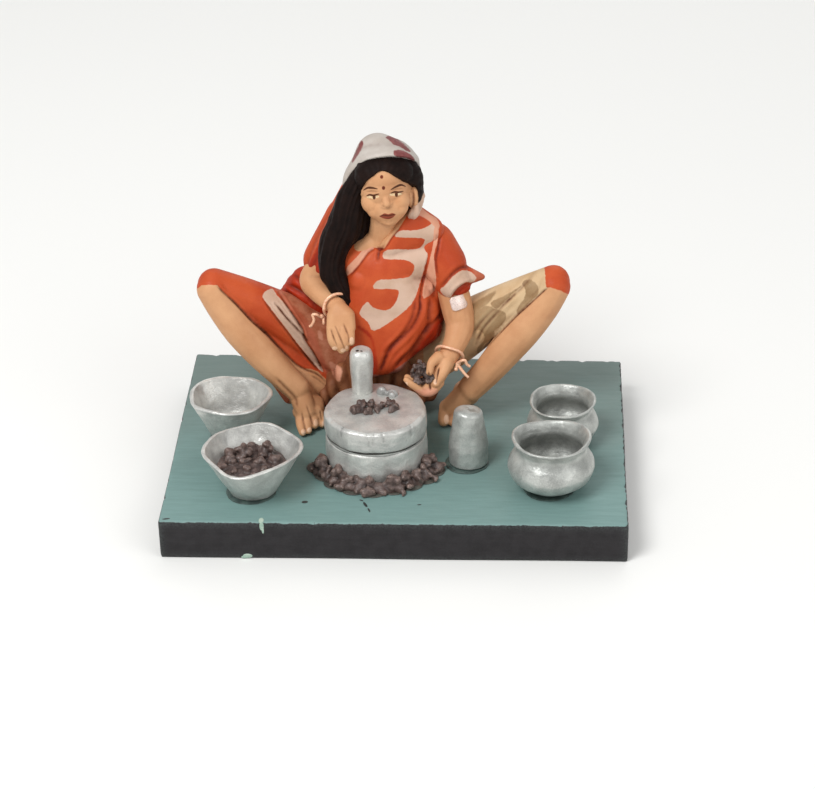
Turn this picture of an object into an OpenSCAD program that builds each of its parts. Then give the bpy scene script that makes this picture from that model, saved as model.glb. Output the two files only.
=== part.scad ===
// Painted clay doll tableau: a woman in a sari grinds grain at a rotary quern, with bowls,
// pots and a tumbler round her, on a rectangular wooden board.
// Millimetres, +Z up, the figure faces -Y. The origin is the centre of the board's underside.

/* [Board] */
// Width of the board, along X
board_w = 140; // [120:1:200]
// Depth of the board, along Y
board_d = 98; // [96:1:150]
// Thickness of the board
board_t = 13; // [11:0.5:20]
// Thickness of the glue film under what stands on the board
glue_t = 0.3; // [0.1:0.05:0.6]
// How far a glue film shows round a foot
glue_show = 1.2; // [0.4:0.1:2]

/* [Quern] */
// Radius of both stones
quern_r = 16; // [13:0.5:20]
// Height of the fixed lower stone
lower_h = 11.2; // [8:0.2:15]
// Height of the turning runner stone
runner_h = 7.4; // [6:0.2:10]
// Open seam between the two stones
seam_gap = 0.25; // [0.1:0.05:0.6]
// Bevel round the runner's top edge
runner_bevel = 1.4; // [0.6:0.1:2]
// Radius of the steel pin that the runner turns on
pin_r = 1; // [0.8:0.1:1.4]
// Running clearance of the pin in the stones
pin_clear = 0.05; // [0.02:0.01:0.1]
// How deep the pin is driven into the board
pin_in_board = 8; // [4:0.5:10]
// How far the pin reaches up into the runner
pin_in_runner = 4.5; // [2:0.5:5]
// Radius of the handle at its head
handle_r = 3.4; // [2.6:0.1:4]
// Radius of the handle at its foot
handle_foot_r = 2.9; // [2.2:0.1:3.6]
// Height of the handle above the runner
handle_h = 15; // [11:0.5:19]
// Radius of the handle's tenon in the runner
tenon_r = 1.4; // [1:0.1:2]
// Depth of the tenon in the runner
tenon_h = 3; // [2:0.5:4]
// Distance from the pin to the handle
handle_orbit = 11; // [8:0.5:12]
// Width of the band of grain round the lower stone
heap_w = 6.5; // [4:0.5:8]
// Size of a lump of grain
grain_r = 1.7; // [1.3:0.1:2]

/* [Vessels] */
// Rim radius of the rear conical bowl
bowl_rear_r = 12.6; // [10:0.2:14]
// Foot radius of the rear conical bowl
bowl_rear_foot = 6; // [5:0.2:7]
// Height of the rear conical bowl
bowl_rear_h = 13.5; // [11:0.5:17]
// Rim radius of the front conical bowl
bowl_front_r = 14.8; // [12:0.2:16]
// Foot radius of the front conical bowl
bowl_front_foot = 7.2; // [6:0.2:8]
// Height of the front conical bowl
bowl_front_h = 14.4; // [12:0.5:18]
// Wall of both conical bowls
bowl_wall = 1.3; // [1:0.1:1.6]
// Depth of the grain below the front bowl's rim
fill_drop = 4; // [2:0.5:5]
// Foot radius of the upturned tumbler
tumbler_foot = 6.1; // [5:0.1:7.5]
// Radius of the tumbler at its closed end
tumbler_top = 4.7; // [4:0.1:5]
// Height of the tumbler
tumbler_h = 18.6; // [15:0.2:23]
// Belly radius of the front pot
pot_front_r = 13; // [11:0.2:14]
// Height of the front pot
pot_front_h = 17; // [14:0.5:21]
// Belly radius of the rear pot
pot_rear_r = 11.2; // [9:0.2:12]
// Height of the rear pot
pot_rear_h = 14; // [11:0.5:17]
// Wall of both pots
pot_wall = 1.4; // [1:0.1:1.6]

/* [Figure] */
// Height of the seated figure above the board
figure_h = 94; // [78:1:113]
// Radius of the bangle wire
bangle_wire_r = 0.45; // [0.3:0.05:0.5]
// Gap between a bangle and the wrist inside it
bangle_gap = 0.45; // [0.3:0.05:0.7]
// Radius of the armature wire in the limbs
armature_r = 0.7; // [0.4:0.05:0.8]
// Clearance of the armature wire in the clay
armature_clear = 0.1; // [0.05:0.05:0.15]
// Radius of the nails that hold the figure to the board
nail_r = 0.9; // [0.6:0.1:1.2]
// Depth of those nails in the board
nail_in_board = 8; // [4:0.5:10]

/* [Hidden] */
$fn = 48;
// Facets round the clay parts
clay_fn = 14;
// Air kept between a carved clay part and a round piece in it
skin_gap = 0.05;

// Places on the board, all measured from the quern
quern_at = [-6.5, -13.5];
stand_z = board_t + glue_t;
seam_z = board_t + lower_h;
runner_z = seam_z + seam_gap;
runner_top = runner_z + runner_h;
handle_angle = 115;
handle_at = quern_at + handle_orbit * [cos(handle_angle), sin(handle_angle)];
// The rear bowl stays clear of the bent shin beside it
bowl_rear_at = quern_at + [-quern_r - 14 - 16 * figure_h / 94, 12.5];
bowl_front_at = quern_at + [-quern_r - 20.5, -17.5];
tumbler_at = quern_at + [quern_r + 12.3, -0.5];
pot_front_at = quern_at + [quern_r + 37.5, -14];
pot_rear_at = quern_at + [quern_r + 41, 12.5];
figure_at = quern_at + [0.5, quern_r + 24.5];

// The figure's own frame: millimetres at its drawn height, from its seat on the board
drawn_h = 94;
figure_k = figure_h / drawn_h;
function fig(p) = [figure_at[0] + figure_k * p[0], figure_at[1] + figure_k * p[1],
    board_t + figure_k * p[2]];

// Body points: x, y, z and radius
pelvis = [0, 2, 11, 12];
right_seat = [-6, 5, 9, 9];
left_seat = [6, 5, 9, 9];
waist = [0, 0, 29, 9.5];
chest = [1, -5, 45, 9.5];
right_shoulder = [-12, -4, 54, 5];
left_shoulder = [17, -4, 56, 6];
neck_low = [1, -6, 58, 5.2];
neck_joint = [1.4, -7.2, 61, 5];
neck_top = [2, -9, 67, 4.8];
skull = [2, -7, 80, 9];
jaw = [3, -11.5, 73.3, 5.4];
right_hip = [-8, 0, 12, 10];
right_mid_thigh = [-32, -6, 31, 7.8];
right_knee = [-51, -11, 45, 4.9];
right_calf = [-43, -15, 31, 4.8];
right_ankle = [-26.5, -17.5, 11.5, 3.7];
right_heel = [-23, -9, 4.6, 4.4];
right_ball = [-23.5, -22, 3.6, 3.4];
right_toe = [-23.2, -26, 2.2, 2];
left_hip = [9, 0, 12, 10];
left_mid_thigh = [32, -6, 31, 7.8];
left_knee = [53.5, -10.5, 46.5, 5.2];
left_calf = [43.5, -14.5, 32, 5];
left_ankle = [27.5, -16.5, 11.5, 3.7];
left_heel = [26, -7, 4.6, 4.4];
left_ball = [21.5, -18, 3.8, 3.6];
left_toe = [19.8, -21.5, 2.6, 2.4];
right_wrist_r = 3.25;
left_wrist_r = 3.4;
right_knee_core = [-49.5, -11.8, 43.4, 0];
left_knee_core = [52, -11.4, 44.8, 0];
// Makes a limb's end bead a little smaller than the bead it sits in
nested = [0, 0, 0, -0.35];
right_elbow = [-21.5, -5, 43.5, 4.2];
right_wrist = [-13, -18.4, 41.6, 3];
right_palm = [-11.7, -22.4, 37.6, 4];
right_fingers = [-11.2, -25.2, 32, 2.2];
left_elbow = [24.4, -12, 32.4, 4.8];
left_wrist = [21.3, -21.4, 26, 3.1];
left_palm = [15.4, -26.4, 18.8, 3.4];
left_fingers = [8.6, -28.8, 21, 1.6];

module bead(p) {
    translate(fig(p)) sphere(r = figure_k * p[3], $fn = clay_fn);
}

module chain(points) {
    for (i = [0 : len(points) - 2]) hull() {
        bead(points[i]);
        bead(points[i + 1]);
    }
}

module patch(points) {
    hull() for (p = points) bead(p);
}

// Everything at or above the board's top
module above_board(z = board_t) {
    translate([-board_w, -board_d, z]) cube([2 * board_w, 2 * board_d, 3 * figure_h]);
}

// A round rod between two figure points
module rod(a, b, r) {
    start = fig(a);
    run = fig(b) - start;
    length = norm(run);
    translate(start)
        rotate([0, acos(run[2] / length), atan2(run[1], run[0])])
            cylinder(r = r, h = length, $fn = 24);
}

module bent_rod(points, r) {
    for (i = [0 : len(points) - 2]) rod(points[i], points[i + 1], r);
    // A thicker bead where the wire bends
    for (i = [1 : 1 : len(points) - 2]) translate(fig(points[i])) sphere(r = 1.25 * r, $fn = 24);
}

module right_arm_wire_shape(r) {
    bent_rod([right_shoulder, right_elbow, right_wrist], r);
}

module left_arm_wire_shape(r) {
    bent_rod([left_shoulder, left_elbow, left_wrist], r);
}

module right_leg_wire_shape(r) {
    bent_rod([right_mid_thigh, right_knee_core, right_calf, right_ankle], r);
}

module left_leg_wire_shape(r) {
    bent_rod([left_mid_thigh, left_knee_core, left_calf, left_ankle], r);
}

module neck_wire_shape(r) {
    rod(chest, [2, -9, 74, 0], r);
}

module nail_shapes(r) {
    for (x = [-5, 5])
        translate([figure_at[0] + figure_k * x, figure_at[1] + figure_k * 3, board_t - nail_in_board])
            cylinder(r = r, h = nail_in_board + figure_k * 10);
}

module armature_space() {
    right_arm_wire_shape(armature_r + armature_clear);
    left_arm_wire_shape(armature_r + armature_clear);
    right_leg_wire_shape(armature_r + armature_clear);
    left_leg_wire_shape(armature_r + armature_clear);
    neck_wire_shape(armature_r + armature_clear);
    nail_shapes(nail_r + armature_clear);
}

// ---- Board and quern ----

module base_board() {
    color("cadetblue") difference() {
        translate([-board_w / 2, -board_d / 2, 0]) cube([board_w, board_d, board_t]);
        translate([quern_at[0], quern_at[1], board_t - pin_in_board])
            cylinder(r = pin_r, h = pin_in_board + 1);
        nail_shapes(nail_r);
    }
}

module glue_disc(at, r) {
    translate([at[0], at[1], board_t]) cylinder(r = r + glue_show, h = glue_t);
}

module glue_beds() {
    color("darkslategray") {
        glue_disc(bowl_rear_at, bowl_rear_foot);
        glue_disc(bowl_front_at, bowl_front_foot);
        glue_disc(tumbler_at + [-0.8, -0.5], tumbler_foot);
        glue_disc(pot_front_at, pot_front_r * 0.55);
        glue_disc(pot_rear_at, pot_rear_r * 0.55);
    }
}

// The film under the spilt grain is wider than the grain at both sides
module heap_glue_bed() {
    color("dimgray") difference() {
        union() {
            translate([quern_at[0], quern_at[1], board_t]) cylinder(r = quern_r + heap_w - 0.6, h = glue_t);
            for (side = [-1, 1])
                translate([quern_at[0] + side * (quern_r + 3), quern_at[1] - 7, board_t])
                    cylinder(r = heap_w, h = glue_t);
        }
        translate([quern_at[0], quern_at[1], board_t - 1]) cylinder(r = quern_r + skin_gap, h = glue_t + 2);
        // Kept to the front, clear of the figure's feet
        translate([quern_at[0] - 2 * quern_r, quern_at[1] + 3, board_t - 1])
            cube([4 * quern_r, 3 * quern_r, glue_t + 2]);
        translate([tumbler_at[0] - 0.8, tumbler_at[1] - 0.5, board_t - 1])
            cylinder(r = tumbler_foot + glue_show + skin_gap, h = glue_t + 2);
    }
}

module quern_lower_stone() {
    // A low land round the pin carries the runner and keeps the seam open
    land_z = runner_z - 0.02;
    color("silver") translate([quern_at[0], quern_at[1], 0]) rotate_extrude()
        polygon([[pin_r + pin_clear, board_t], [quern_r - 0.3, board_t], [quern_r, board_t + 1],
            [quern_r, seam_z - 0.5], [quern_r - 0.5, seam_z], [pin_r + 3, seam_z], [pin_r + 3, land_z],
            [pin_r + pin_clear, land_z]]);
}

module quern_runner_stone() {
    color("silver") difference() {
        translate([quern_at[0], quern_at[1], 0]) rotate_extrude()
            polygon([[0, runner_z], [quern_r - 0.6, runner_z], [quern_r - 0.1, runner_z + 0.5],
                [quern_r, runner_top - runner_bevel], [quern_r - 0.4 * runner_bevel, runner_top - 0.35 * runner_bevel],
                [quern_r - 1.2 * runner_bevel, runner_top], [0, runner_top]]);
        translate([quern_at[0], quern_at[1], runner_z - 1])
            cylinder(r = pin_r + pin_clear, h = pin_in_runner + 1.3);
        translate([handle_at[0], handle_at[1], runner_top - tenon_h]) cylinder(r = tenon_r, h = tenon_h + 1);
    }
}

// The room the runner turns in
module runner_space() {
    translate([quern_at[0], quern_at[1], board_t - 1])
        cylinder(r = quern_r + 0.4, h = lower_h + seam_gap + runner_h + 1.4, $fn = 64);
}

module quern_pin() {
    color("gray") translate([quern_at[0], quern_at[1], board_t - pin_in_board])
        cylinder(r = pin_r, h = pin_in_board + lower_h + seam_gap + pin_in_runner);
}

module quern_handle() {
    color("silver") translate([handle_at[0], handle_at[1], 0]) rotate_extrude()
        polygon([[0, runner_top - tenon_h], [tenon_r, runner_top - tenon_h], [tenon_r, runner_top],
            [handle_foot_r - 0.8, runner_top], [handle_foot_r, runner_top + 1],
            [handle_r, runner_top + handle_h - 1.8], [handle_r - 0.5, runner_top + handle_h - 0.6],
            [handle_r - 1.5, runner_top + handle_h], [0, runner_top + handle_h]]);
}

boss_angle = 68;
boss_orbit = 8.6;

// Two pads of clay fused side by side
module boss_shape(grow = 0) {
    translate([quern_at[0], quern_at[1], runner_top]) rotate(boss_angle - 90)
        translate([0, boss_orbit, 0]) for (pad = [[-1.8, 0, 2, 2.4], [1.4, 0.4, 2.3, 1.9]]) hull() {
            translate([pad[0], pad[1], 0]) cylinder(r = pad[2] + grow, h = pad[3] / 2, $fn = 16);
            translate([pad[0], pad[1], 0]) cylinder(r = pad[2] + grow - 0.7, h = pad[3] + grow, $fn = 16);
        }
}

module runner_boss() {
    color("silver") boss_shape();
}

// ---- Grain ----

// One lump: three small beads wrapped together, turned by its own number
module lump(at, r, n) {
    turn = rands(0, 360, 3, n);
    translate(at) rotate(turn) hull() {
        sphere(r = 0.78 * r, $fn = 6);
        translate([0.35 * r, 0.1 * r, 0]) sphere(r = 0.65 * r, $fn = 6);
        translate([-0.25 * r, 0.3 * r, 0.1 * r]) sphere(r = 0.65 * r, $fn = 6);
    }
}

// Lumps spread over a round patch by the sunflower rule, highest in the middle
module lump_pile(at, r, z, rise, count, seed) {
    for (i = [0 : count - 1]) {
        reach = r * sqrt((i + 0.5) / count);
        angle = 137.5 * i;
        lift = rise * (1 - reach / r);
        lump([at[0] + reach * cos(angle), at[1] + reach * sin(angle), z + lift], grain_r, seed + i);
    }
}

module grain_on_runner() {
    color("saddlebrown") difference() {
        intersection() {
            union() {
                lump_pile(quern_at + [-1.8, -1.2], 3.6, runner_top + 1, 0.8, 7, 11);
                lump_pile(quern_at + [4.2, 0.6], 2.6, runner_top + 0.9, 0.5, 4, 41);
            }
            above_board(runner_top);
        }
        translate([handle_at[0], handle_at[1], runner_top - 1])
            cylinder(r = handle_foot_r + 0.5, h = handle_h, $fn = 32);
        boss_shape(0.1);
    }
}

module grain_heap() {
    steps = 19;
    color("saddlebrown") difference() {
        intersection() {
            union() {
                for (i = [0 : steps]) {
                    angle = 196 + i * 150 / steps;
                    ends = abs(i - steps / 2) / (steps / 2);
                    for (row = [0, 1]) {
                        reach = quern_r + (row == 0 ? 1.2 : 3.6) + 0.8 * sin(97 * i + 60 * row);
                        lift = (row == 0 ? 2.2 : 0.9) + 1.4 * ends * (1 - row);
                        lump([quern_at[0] + reach * cos(angle), quern_at[1] + reach * sin(angle),
                            stand_z + lift], grain_r * (1 + 0.2 * sin(71 * i)), 100 + 2 * i + row);
                    }
                }
                // The mound under the lumps, on the front side only
                translate([quern_at[0], quern_at[1], stand_z]) difference() {
                    rotate_extrude() polygon([[quern_r - 1, 0], [quern_r + 4.4, 0], [quern_r + 3.4, 1.1],
                        [quern_r + 1, 3], [quern_r - 1, 3.4]]);
                    translate([-2 * quern_r, -4, -1]) cube([4 * quern_r, 3 * quern_r, 6]);
                }
            }
            above_board(stand_z);
        }
        translate([quern_at[0], quern_at[1], board_t]) cylinder(r = quern_r + skin_gap, h = lower_h + 5, $fn = 96);
    }
}

// ---- Vessels ----

// Straight-sided bowl with a thick floor
module cone_bowl(at, rim_r, foot_r, h) {
    slope = (rim_r - foot_r) / h;
    floor_t = 2 * bowl_wall;
    color("silver") translate([at[0], at[1], stand_z]) rotate_extrude()
        polygon([[0, 0], [foot_r - 0.4, 0], [foot_r, 0.4], [rim_r, h - 0.5], [rim_r - 0.5, h],
            [rim_r - bowl_wall, h], [max(foot_r + slope * floor_t - 2.6 * bowl_wall, 1), floor_t],
            [0, floor_t]]);
}

module bowl_rear() {
    cone_bowl(bowl_rear_at, bowl_rear_r, bowl_rear_foot, bowl_rear_h);
}

module bowl_front() {
    cone_bowl(bowl_front_at, bowl_front_r, bowl_front_foot, bowl_front_h);
}

module bowl_rear_crumb() {
    color("silver") translate([bowl_rear_at[0] - 0.6, bowl_rear_at[1] - 0.8, stand_z + 2 * bowl_wall])
        rotate_extrude() polygon([[0, 0], [1.1, 0], [0.8, 0.8], [0, 1.1]]);
}

// The space inside the front bowl, drawn in by the clearance
module bowl_front_space() {
    slope = (bowl_front_r - bowl_front_foot) / bowl_front_h;
    floor_t = 2 * bowl_wall;
    low_r = max(bowl_front_foot + slope * floor_t - 2.6 * bowl_wall, 1);
    translate([bowl_front_at[0], bowl_front_at[1], stand_z + floor_t])
        cylinder(r1 = low_r - skin_gap, r2 = bowl_front_r - bowl_wall - skin_gap,
            h = bowl_front_h - floor_t, $fn = 40);
}

module grain_in_bowl() {
    fill_z = stand_z + bowl_front_h - fill_drop;
    color("saddlebrown") intersection() {
        union() {
            lump_pile(bowl_front_at, bowl_front_r - bowl_wall - 4.4, fill_z - 0.6, 1.2, 24, 211);
            lump([bowl_front_at[0] + 3.6, bowl_front_at[1] + 2.4, fill_z + 1.4], grain_r * 1.2, 251);
            translate([bowl_front_at[0], bowl_front_at[1], stand_z + 2 * bowl_wall])
                cylinder(r = bowl_front_r, h = bowl_front_h - fill_drop - 2 * bowl_wall, $fn = 40);
        }
        bowl_front_space();
    }
}

module tumbler() {
    color("silver") translate([tumbler_at[0], tumbler_at[1], stand_z]) rotate_extrude()
        polygon([[0, 0], [tumbler_foot - 0.6, 0], [tumbler_foot, 0.8], [tumbler_foot - 0.1, tumbler_h * 0.4],
            [tumbler_top, tumbler_h - 1.6], [tumbler_top - 0.5, tumbler_h - 0.5], [tumbler_top - 1.4, tumbler_h],
            [0, tumbler_h]]);
}

function arc(cx, cz, rx, rz, from, to, n) =
    [for (i = [0 : n]) let (a = from + (to - from) * i / n) [cx + rx * cos(a), cz + rz * sin(a)]];

// Round-bellied pot with a narrow neck and a flared lip
module round_pot(at, belly_r, h) {
    foot_r = belly_r * 0.5;
    neck_r = belly_r * 0.76;
    lip_r = belly_r * 0.9;
    belly_z = h * 0.42;
    neck_z = h * 0.84;
    outer = concat([[0, 0], [foot_r, 0]],
        arc(0, belly_z, belly_r, belly_z, -56, 0, 6),
        [[belly_r * 0.97, h * 0.57], [neck_r + 0.9, neck_z - 1.4], [neck_r, neck_z], [lip_r, h - 0.7],
            [lip_r - 0.4, h]]);
    inner = concat([[lip_r - pot_wall, h], [neck_r - pot_wall, neck_z]],
        arc(0, belly_z, belly_r - pot_wall, belly_z - pot_wall, 30, -80, 8),
        [[0, pot_wall]]);
    color("silver") translate([at[0], at[1], stand_z]) rotate_extrude() polygon(concat(outer, inner));
}

module pot_front() {
    round_pot(pot_front_at, pot_front_r, pot_front_h);
}

module pot_rear() {
    round_pot(pot_rear_at, pot_rear_r, pot_rear_h);
}

// ---- Figure: plain shapes, before neighbours are carved out ----

module torso_shape() {
    chain([pelvis, waist, chest]);
    chain([right_seat, pelvis, left_seat]);
    patch([chest, right_shoulder, left_shoulder, neck_low]);
    chain([neck_low, neck_joint]);
    patch([chest, [-4, -10, 46, 5.6]]);
    patch([chest, [6, -10, 46, 5.6]]);
}

module head_shape() {
    patch([skull, jaw + [-2, 0, -0.4, -0.6], jaw + [2, 0, -0.4, -0.6], [-0.8, -11, 77, 5.6],
        [5.8, -11, 77, 5.6]]);
    patch([skull, [2, -11.5, 81, 6.4]]);
    chain([neck_joint + nested, neck_top, [2, -8, 73, 4.6]]);
}

module hair_cap_shape() {
    patch([[2, -6.2, 80.4, 10.2], [2, -8.4, 83, 8.4]]);
    patch([[-6, -6.5, 75, 4.6], [2, -2, 76, 8]]);
    patch([[9, -8, 76.5, 3.4], [2, -2, 76, 8]]);
}

module hair_fall_shape() {
    chain([[-7.5, -8, 76, 4.4], [-9.6, -10, 66.5, 6], [-14.3, -11.5, 57.6, 4.8], [-14.4, -13, 51, 4.4],
        [-12, -14.6, 45.5, 3.2], [-9, -16, 41.4, 1.3]]);
}

module hood_shape() {
    patch([[2, -4.5, 80.5, 11.4], [-0.4, -5, 86.3, 6.8], [3, -9, 83.4, 9.4]]);
    patch([[2, -3.5, 80, 11.2], [0, -1, 68, 10]]);
    patch([[8.8, -6, 74, 4.2], [9.6, -5, 63, 5], [0, -1, 68, 10]]);
}

module pallu_fall_shape() {
    patch([[-4, 0, 76, 8], [-10, 0, 62, 8]]);
    patch([[-10, 0, 62, 8], [-16, -1, 48, 8]]);
    patch([[-10, 0, 62, 8], [-14, -3, 52, 7], [-4, 3, 50, 8]]);
}

module bodice_shape() {
    patch([[16, -5, 55.5, 6.6], [-11, -6, 53.5, 6], [1, -9.5, 50, 8.6], [8.5, -8, 61, 3.4], [-2, -7, 59, 3.6]]);
    patch([[1, -9.5, 50, 8.6], [-7, -11.5, 37, 7.6], [9, -11, 38, 8.6], [-12, -5, 48, 6]]);
    patch([[-7, -11.5, 37, 7.6], [9, -11, 38, 8.6], [-4, -19, 20.5, 3.6], [4, -18, 22, 3.6]]);
    patch([[9, -11, 38, 8.6], [4, -16, 24, 4.6], [14, -10, 30, 5]]);
}

module sleeve_shape() {
    patch([[11, -4, 60.5, 5.4], [16, -5, 56, 7.4], [19.6, -7, 50.5, 7.2]]);
    patch([[16, -5, 56, 7.4], [22.5, -9, 45.4, 5.8]]);
    patch([[22, -8, 47, 5], [30.6, -8, 46.4, 1.2]]);
    patch([[19, -6, 50, 6], [13, -2, 44, 7]]);
}

module hip_drape_shape() {
    patch([[-14, 0, 38, 8], [-25, 3, 32, 7.6]]);
    patch([[-25, 3, 32, 7.6], [-15, 3, 18, 8]]);
}

module lap_pleats_shape() {
    patch([[-8, -16, 20, 3.4], [-16, -10, 8, 4], [-19, -12, 4, 3]]);
    patch([[-8, -16, 20, 3.4], [-9, -17, 4, 3], [-16, -10, 8, 4]]);
    patch([[4, -16, 20, 3.4], [7, -16, 4, 3], [14, -11, 8, 4]]);
    patch([[-9, -17, 4, 3], [7, -16, 4, 3], [0, -16, 19, 3.4]]);
}

module right_thigh_shape() {
    chain([right_hip, right_mid_thigh, right_knee]);
}

module left_thigh_shape() {
    chain([left_hip, left_mid_thigh, left_knee]);
}

module right_shin_shape() {
    chain([[-51, -12.6, 44.4, 4.8], right_calf, right_ankle]);
}

module left_shin_shape() {
    chain([[53.3, -12.2, 45.8, 5], left_calf, left_ankle]);
}

module foot_shape(heel, ankle, ball, toe, splay) {
    chain([ankle + nested, heel]);
    patch([heel, ball, ankle + nested]);
    patch([ball, toe, ball + [splay, 1, -0.6, -0.4], toe + [splay, 2, -0.2, 0]]);
}

module right_foot_shape() {
    foot_shape(right_heel, right_ankle, right_ball, right_toe, -3);
}

module left_foot_shape() {
    foot_shape(left_heel, left_ankle, left_ball, left_toe, 3);
}

module right_arm_shape() {
    chain([right_shoulder + nested, right_elbow, right_wrist]);
}

module left_arm_shape() {
    chain([left_shoulder + nested, left_elbow, left_wrist]);
}

module right_hand_shape() {
    chain([right_wrist + nested, right_palm]);
    for (i = [-1.5 : 1 : 1.5])
        chain([right_palm + [1.7 * i, 0, -0.3, -2.2],
            right_fingers + [1.5 * i, 0.6 * abs(i - 0.5), 0.6 * abs(i - 0.5), -0.8]]);
    chain([right_palm + [3, 1, 0.4, -2.4], right_palm + [4.6, -0.6, -3, -2.6]]);
}

module left_hand_shape() {
    chain([left_wrist + nested, left_palm]);
    for (i = [-1.5 : 1 : 1.5])
        chain([left_palm + [-0.6, 1.6 * i, -1, -1.6], left_fingers + [1.4 + 0.6 * abs(i), 1.5 * i, -1.6, 0],
            left_fingers + [-0.4 + 0.6 * abs(i), 1.3 * i, 1, -0.4]]);
    chain([left_palm + [0.4, 2.4, 3, -1.6], left_palm + [-1.6, 1.4, 5, -1.9]]);
}

// A wire ring round the wrist with twisted ends, in the wrist's own frame
module at_wrist(wrist, elbow) {
    start = fig(wrist);
    run = fig(elbow) - start;
    length = norm(run);
    translate(start) rotate([0, acos(run[2] / length), atan2(run[1], run[0])])
        translate([0, 0, figure_k * 0.9]) children();
}

function ring_r(wrist_r) = figure_k * wrist_r + bangle_gap + bangle_wire_r;

module bangle_shape(wrist, elbow, wrist_r, tails) {
    at_wrist(wrist, elbow) {
        rotate_extrude() translate([ring_r(wrist_r), 0]) circle(r = bangle_wire_r, $fn = 24);
        for (tail = tails) translate([ring_r(wrist_r) * cos(tail[0]), ring_r(wrist_r) * sin(tail[0]), 0])
            rotate([0, tail[1], tail[0]]) cylinder(r = 0.85 * bangle_wire_r, h = figure_k * tail[2], $fn = 24);
    }
}

// The slot that a bangle turns in, cut from the clay beside the wrist
module bangle_slot(wrist, elbow, wrist_r) {
    reach = ring_r(wrist_r) + bangle_wire_r + 0.35;
    half = bangle_wire_r + 0.35;
    at_wrist(wrist, elbow) translate([0, 0, -half]) cylinder(r = reach, h = 2 * half, $fn = 32);
}

module right_bangle_shape() {
    bangle_shape(right_wrist, right_elbow, right_wrist_r, [[90, 75, 3.2], [112, 100, 1.8]]);
}

module left_bangle_shape() {
    bangle_shape(left_wrist, left_elbow, left_wrist_r, [[-70, 115, 4.8], [-96, 82, 3]]);
}

// ---- Figure: finished nodes ----

module torso() {
    color("tan") difference() {
        intersection() {
            torso_shape();
            above_board();
        }
        armature_space();
    }
}

module seat_nails() {
    color("gray") nail_shapes(nail_r);
}

module neck_wire() {
    color("gray") neck_wire_shape(armature_r);
}

module right_arm_wire() {
    color("gray") right_arm_wire_shape(armature_r);
}

module left_arm_wire() {
    color("gray") left_arm_wire_shape(armature_r);
}

module right_leg_wire() {
    color("gray") right_leg_wire_shape(armature_r);
}

module left_leg_wire() {
    color("gray") left_leg_wire_shape(armature_r);
}

module head() {
    color("tan") difference() {
        head_shape();
        torso_shape();
        armature_space();
    }
}

module right_thigh() {
    color("orangered") difference() {
        intersection() {
            right_thigh_shape();
            above_board();
        }
        torso_shape();
        armature_space();
    }
}

module left_thigh() {
    color("wheat") difference() {
        intersection() {
            left_thigh_shape();
            above_board();
        }
        torso_shape();
        right_thigh_shape();
        armature_space();
    }
}

module right_shin() {
    color("tan") difference() {
        right_shin_shape();
        right_thigh_shape();
        armature_space();
    }
}

module left_shin() {
    color("tan") difference() {
        left_shin_shape();
        left_thigh_shape();
        armature_space();
    }
}

module right_foot() {
    color("tan") difference() {
        intersection() {
            right_foot_shape();
            above_board();
        }
        right_shin_shape();
        right_thigh_shape();
        armature_space();
    }
}

module left_foot() {
    color("tan") difference() {
        intersection() {
            left_foot_shape();
            above_board();
        }
        left_shin_shape();
        left_thigh_shape();
        armature_space();
    }
}

module right_arm() {
    color("tan") difference() {
        right_arm_shape();
        torso_shape();
        right_thigh_shape();
        armature_space();
    }
}

module left_arm() {
    color("tan") difference() {
        left_arm_shape();
        torso_shape();
        left_thigh_shape();
        armature_space();
    }
}

module right_hand() {
    color("tan") difference() {
        right_hand_shape();
        right_arm_shape();
        armature_space();
    }
}

module left_hand() {
    color("tan") difference() {
        left_hand_shape();
        left_arm_shape();
        runner_space();
        armature_space();
    }
}

module sari_bodice() {
    color("orangered") difference() {
        bodice_shape();
        torso_shape();
        head_shape();
        right_thigh_shape();
        left_thigh_shape();
        right_arm_shape();
        left_arm_shape();
        bangle_slot(right_wrist, right_elbow, right_wrist_r);
        armature_space();
    }
}

module hair_cap() {
    color("black") difference() {
        hair_cap_shape();
        head_shape();
        // Opens the hair over the face
        translate(fig([3, -26, 78])) rotate([14, 0, 6]) scale(figure_k)
            rotate([90, 0, 0]) cylinder(r = 8.6, h = 30, center = true, $fn = 40);
        armature_space();
    }
}

module hair_fall() {
    color("black") difference() {
        hair_fall_shape();
        hair_cap_shape();
        head_shape();
        torso_shape();
        right_arm_shape();
        bodice_shape();
        right_hand_shape();
        bangle_slot(right_wrist, right_elbow, right_wrist_r);
    }
}

module pallu_hood() {
    color("white") difference() {
        hood_shape();
        hair_cap_shape();
        head_shape();
        torso_shape();
        bodice_shape();
        hair_fall_shape();
        // Trims the hood behind the face and the parting
        translate(fig([2, -12, 84])) rotate([18, 0, 6]) scale(figure_k)
            translate([-30, -60, -24]) cube([60, 60, 60]);
    }
}

module pallu_fall() {
    color("orangered") difference() {
        pallu_fall_shape();
        hood_shape();
        hair_cap_shape();
        hair_fall_shape();
        torso_shape();
        head_shape();
        bodice_shape();
        right_arm_shape();
    }
}

module sari_sleeve() {
    color("orangered") difference() {
        sleeve_shape();
        bodice_shape();
        left_arm_shape();
        torso_shape();
        head_shape();
        hood_shape();
        // Leaves the armlet free below the sleeve
        armlet_shape(0.2);
    }
}

module hip_drape() {
    color("firebrick") difference() {
        hip_drape_shape();
        torso_shape();
        right_thigh_shape();
        right_arm_shape();
        bodice_shape();
        pallu_fall_shape();
        hair_fall_shape();
        armature_space();
    }
}

module lap_pleats() {
    color("sienna") difference() {
        intersection() {
            lap_pleats_shape();
            above_board();
        }
        torso_shape();
        right_thigh_shape();
        left_thigh_shape();
        right_shin_shape();
        left_shin_shape();
        right_foot_shape();
        left_foot_shape();
        bodice_shape();
        armature_space();
        runner_space();
    }
}

armlet_at = 0.2;

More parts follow.
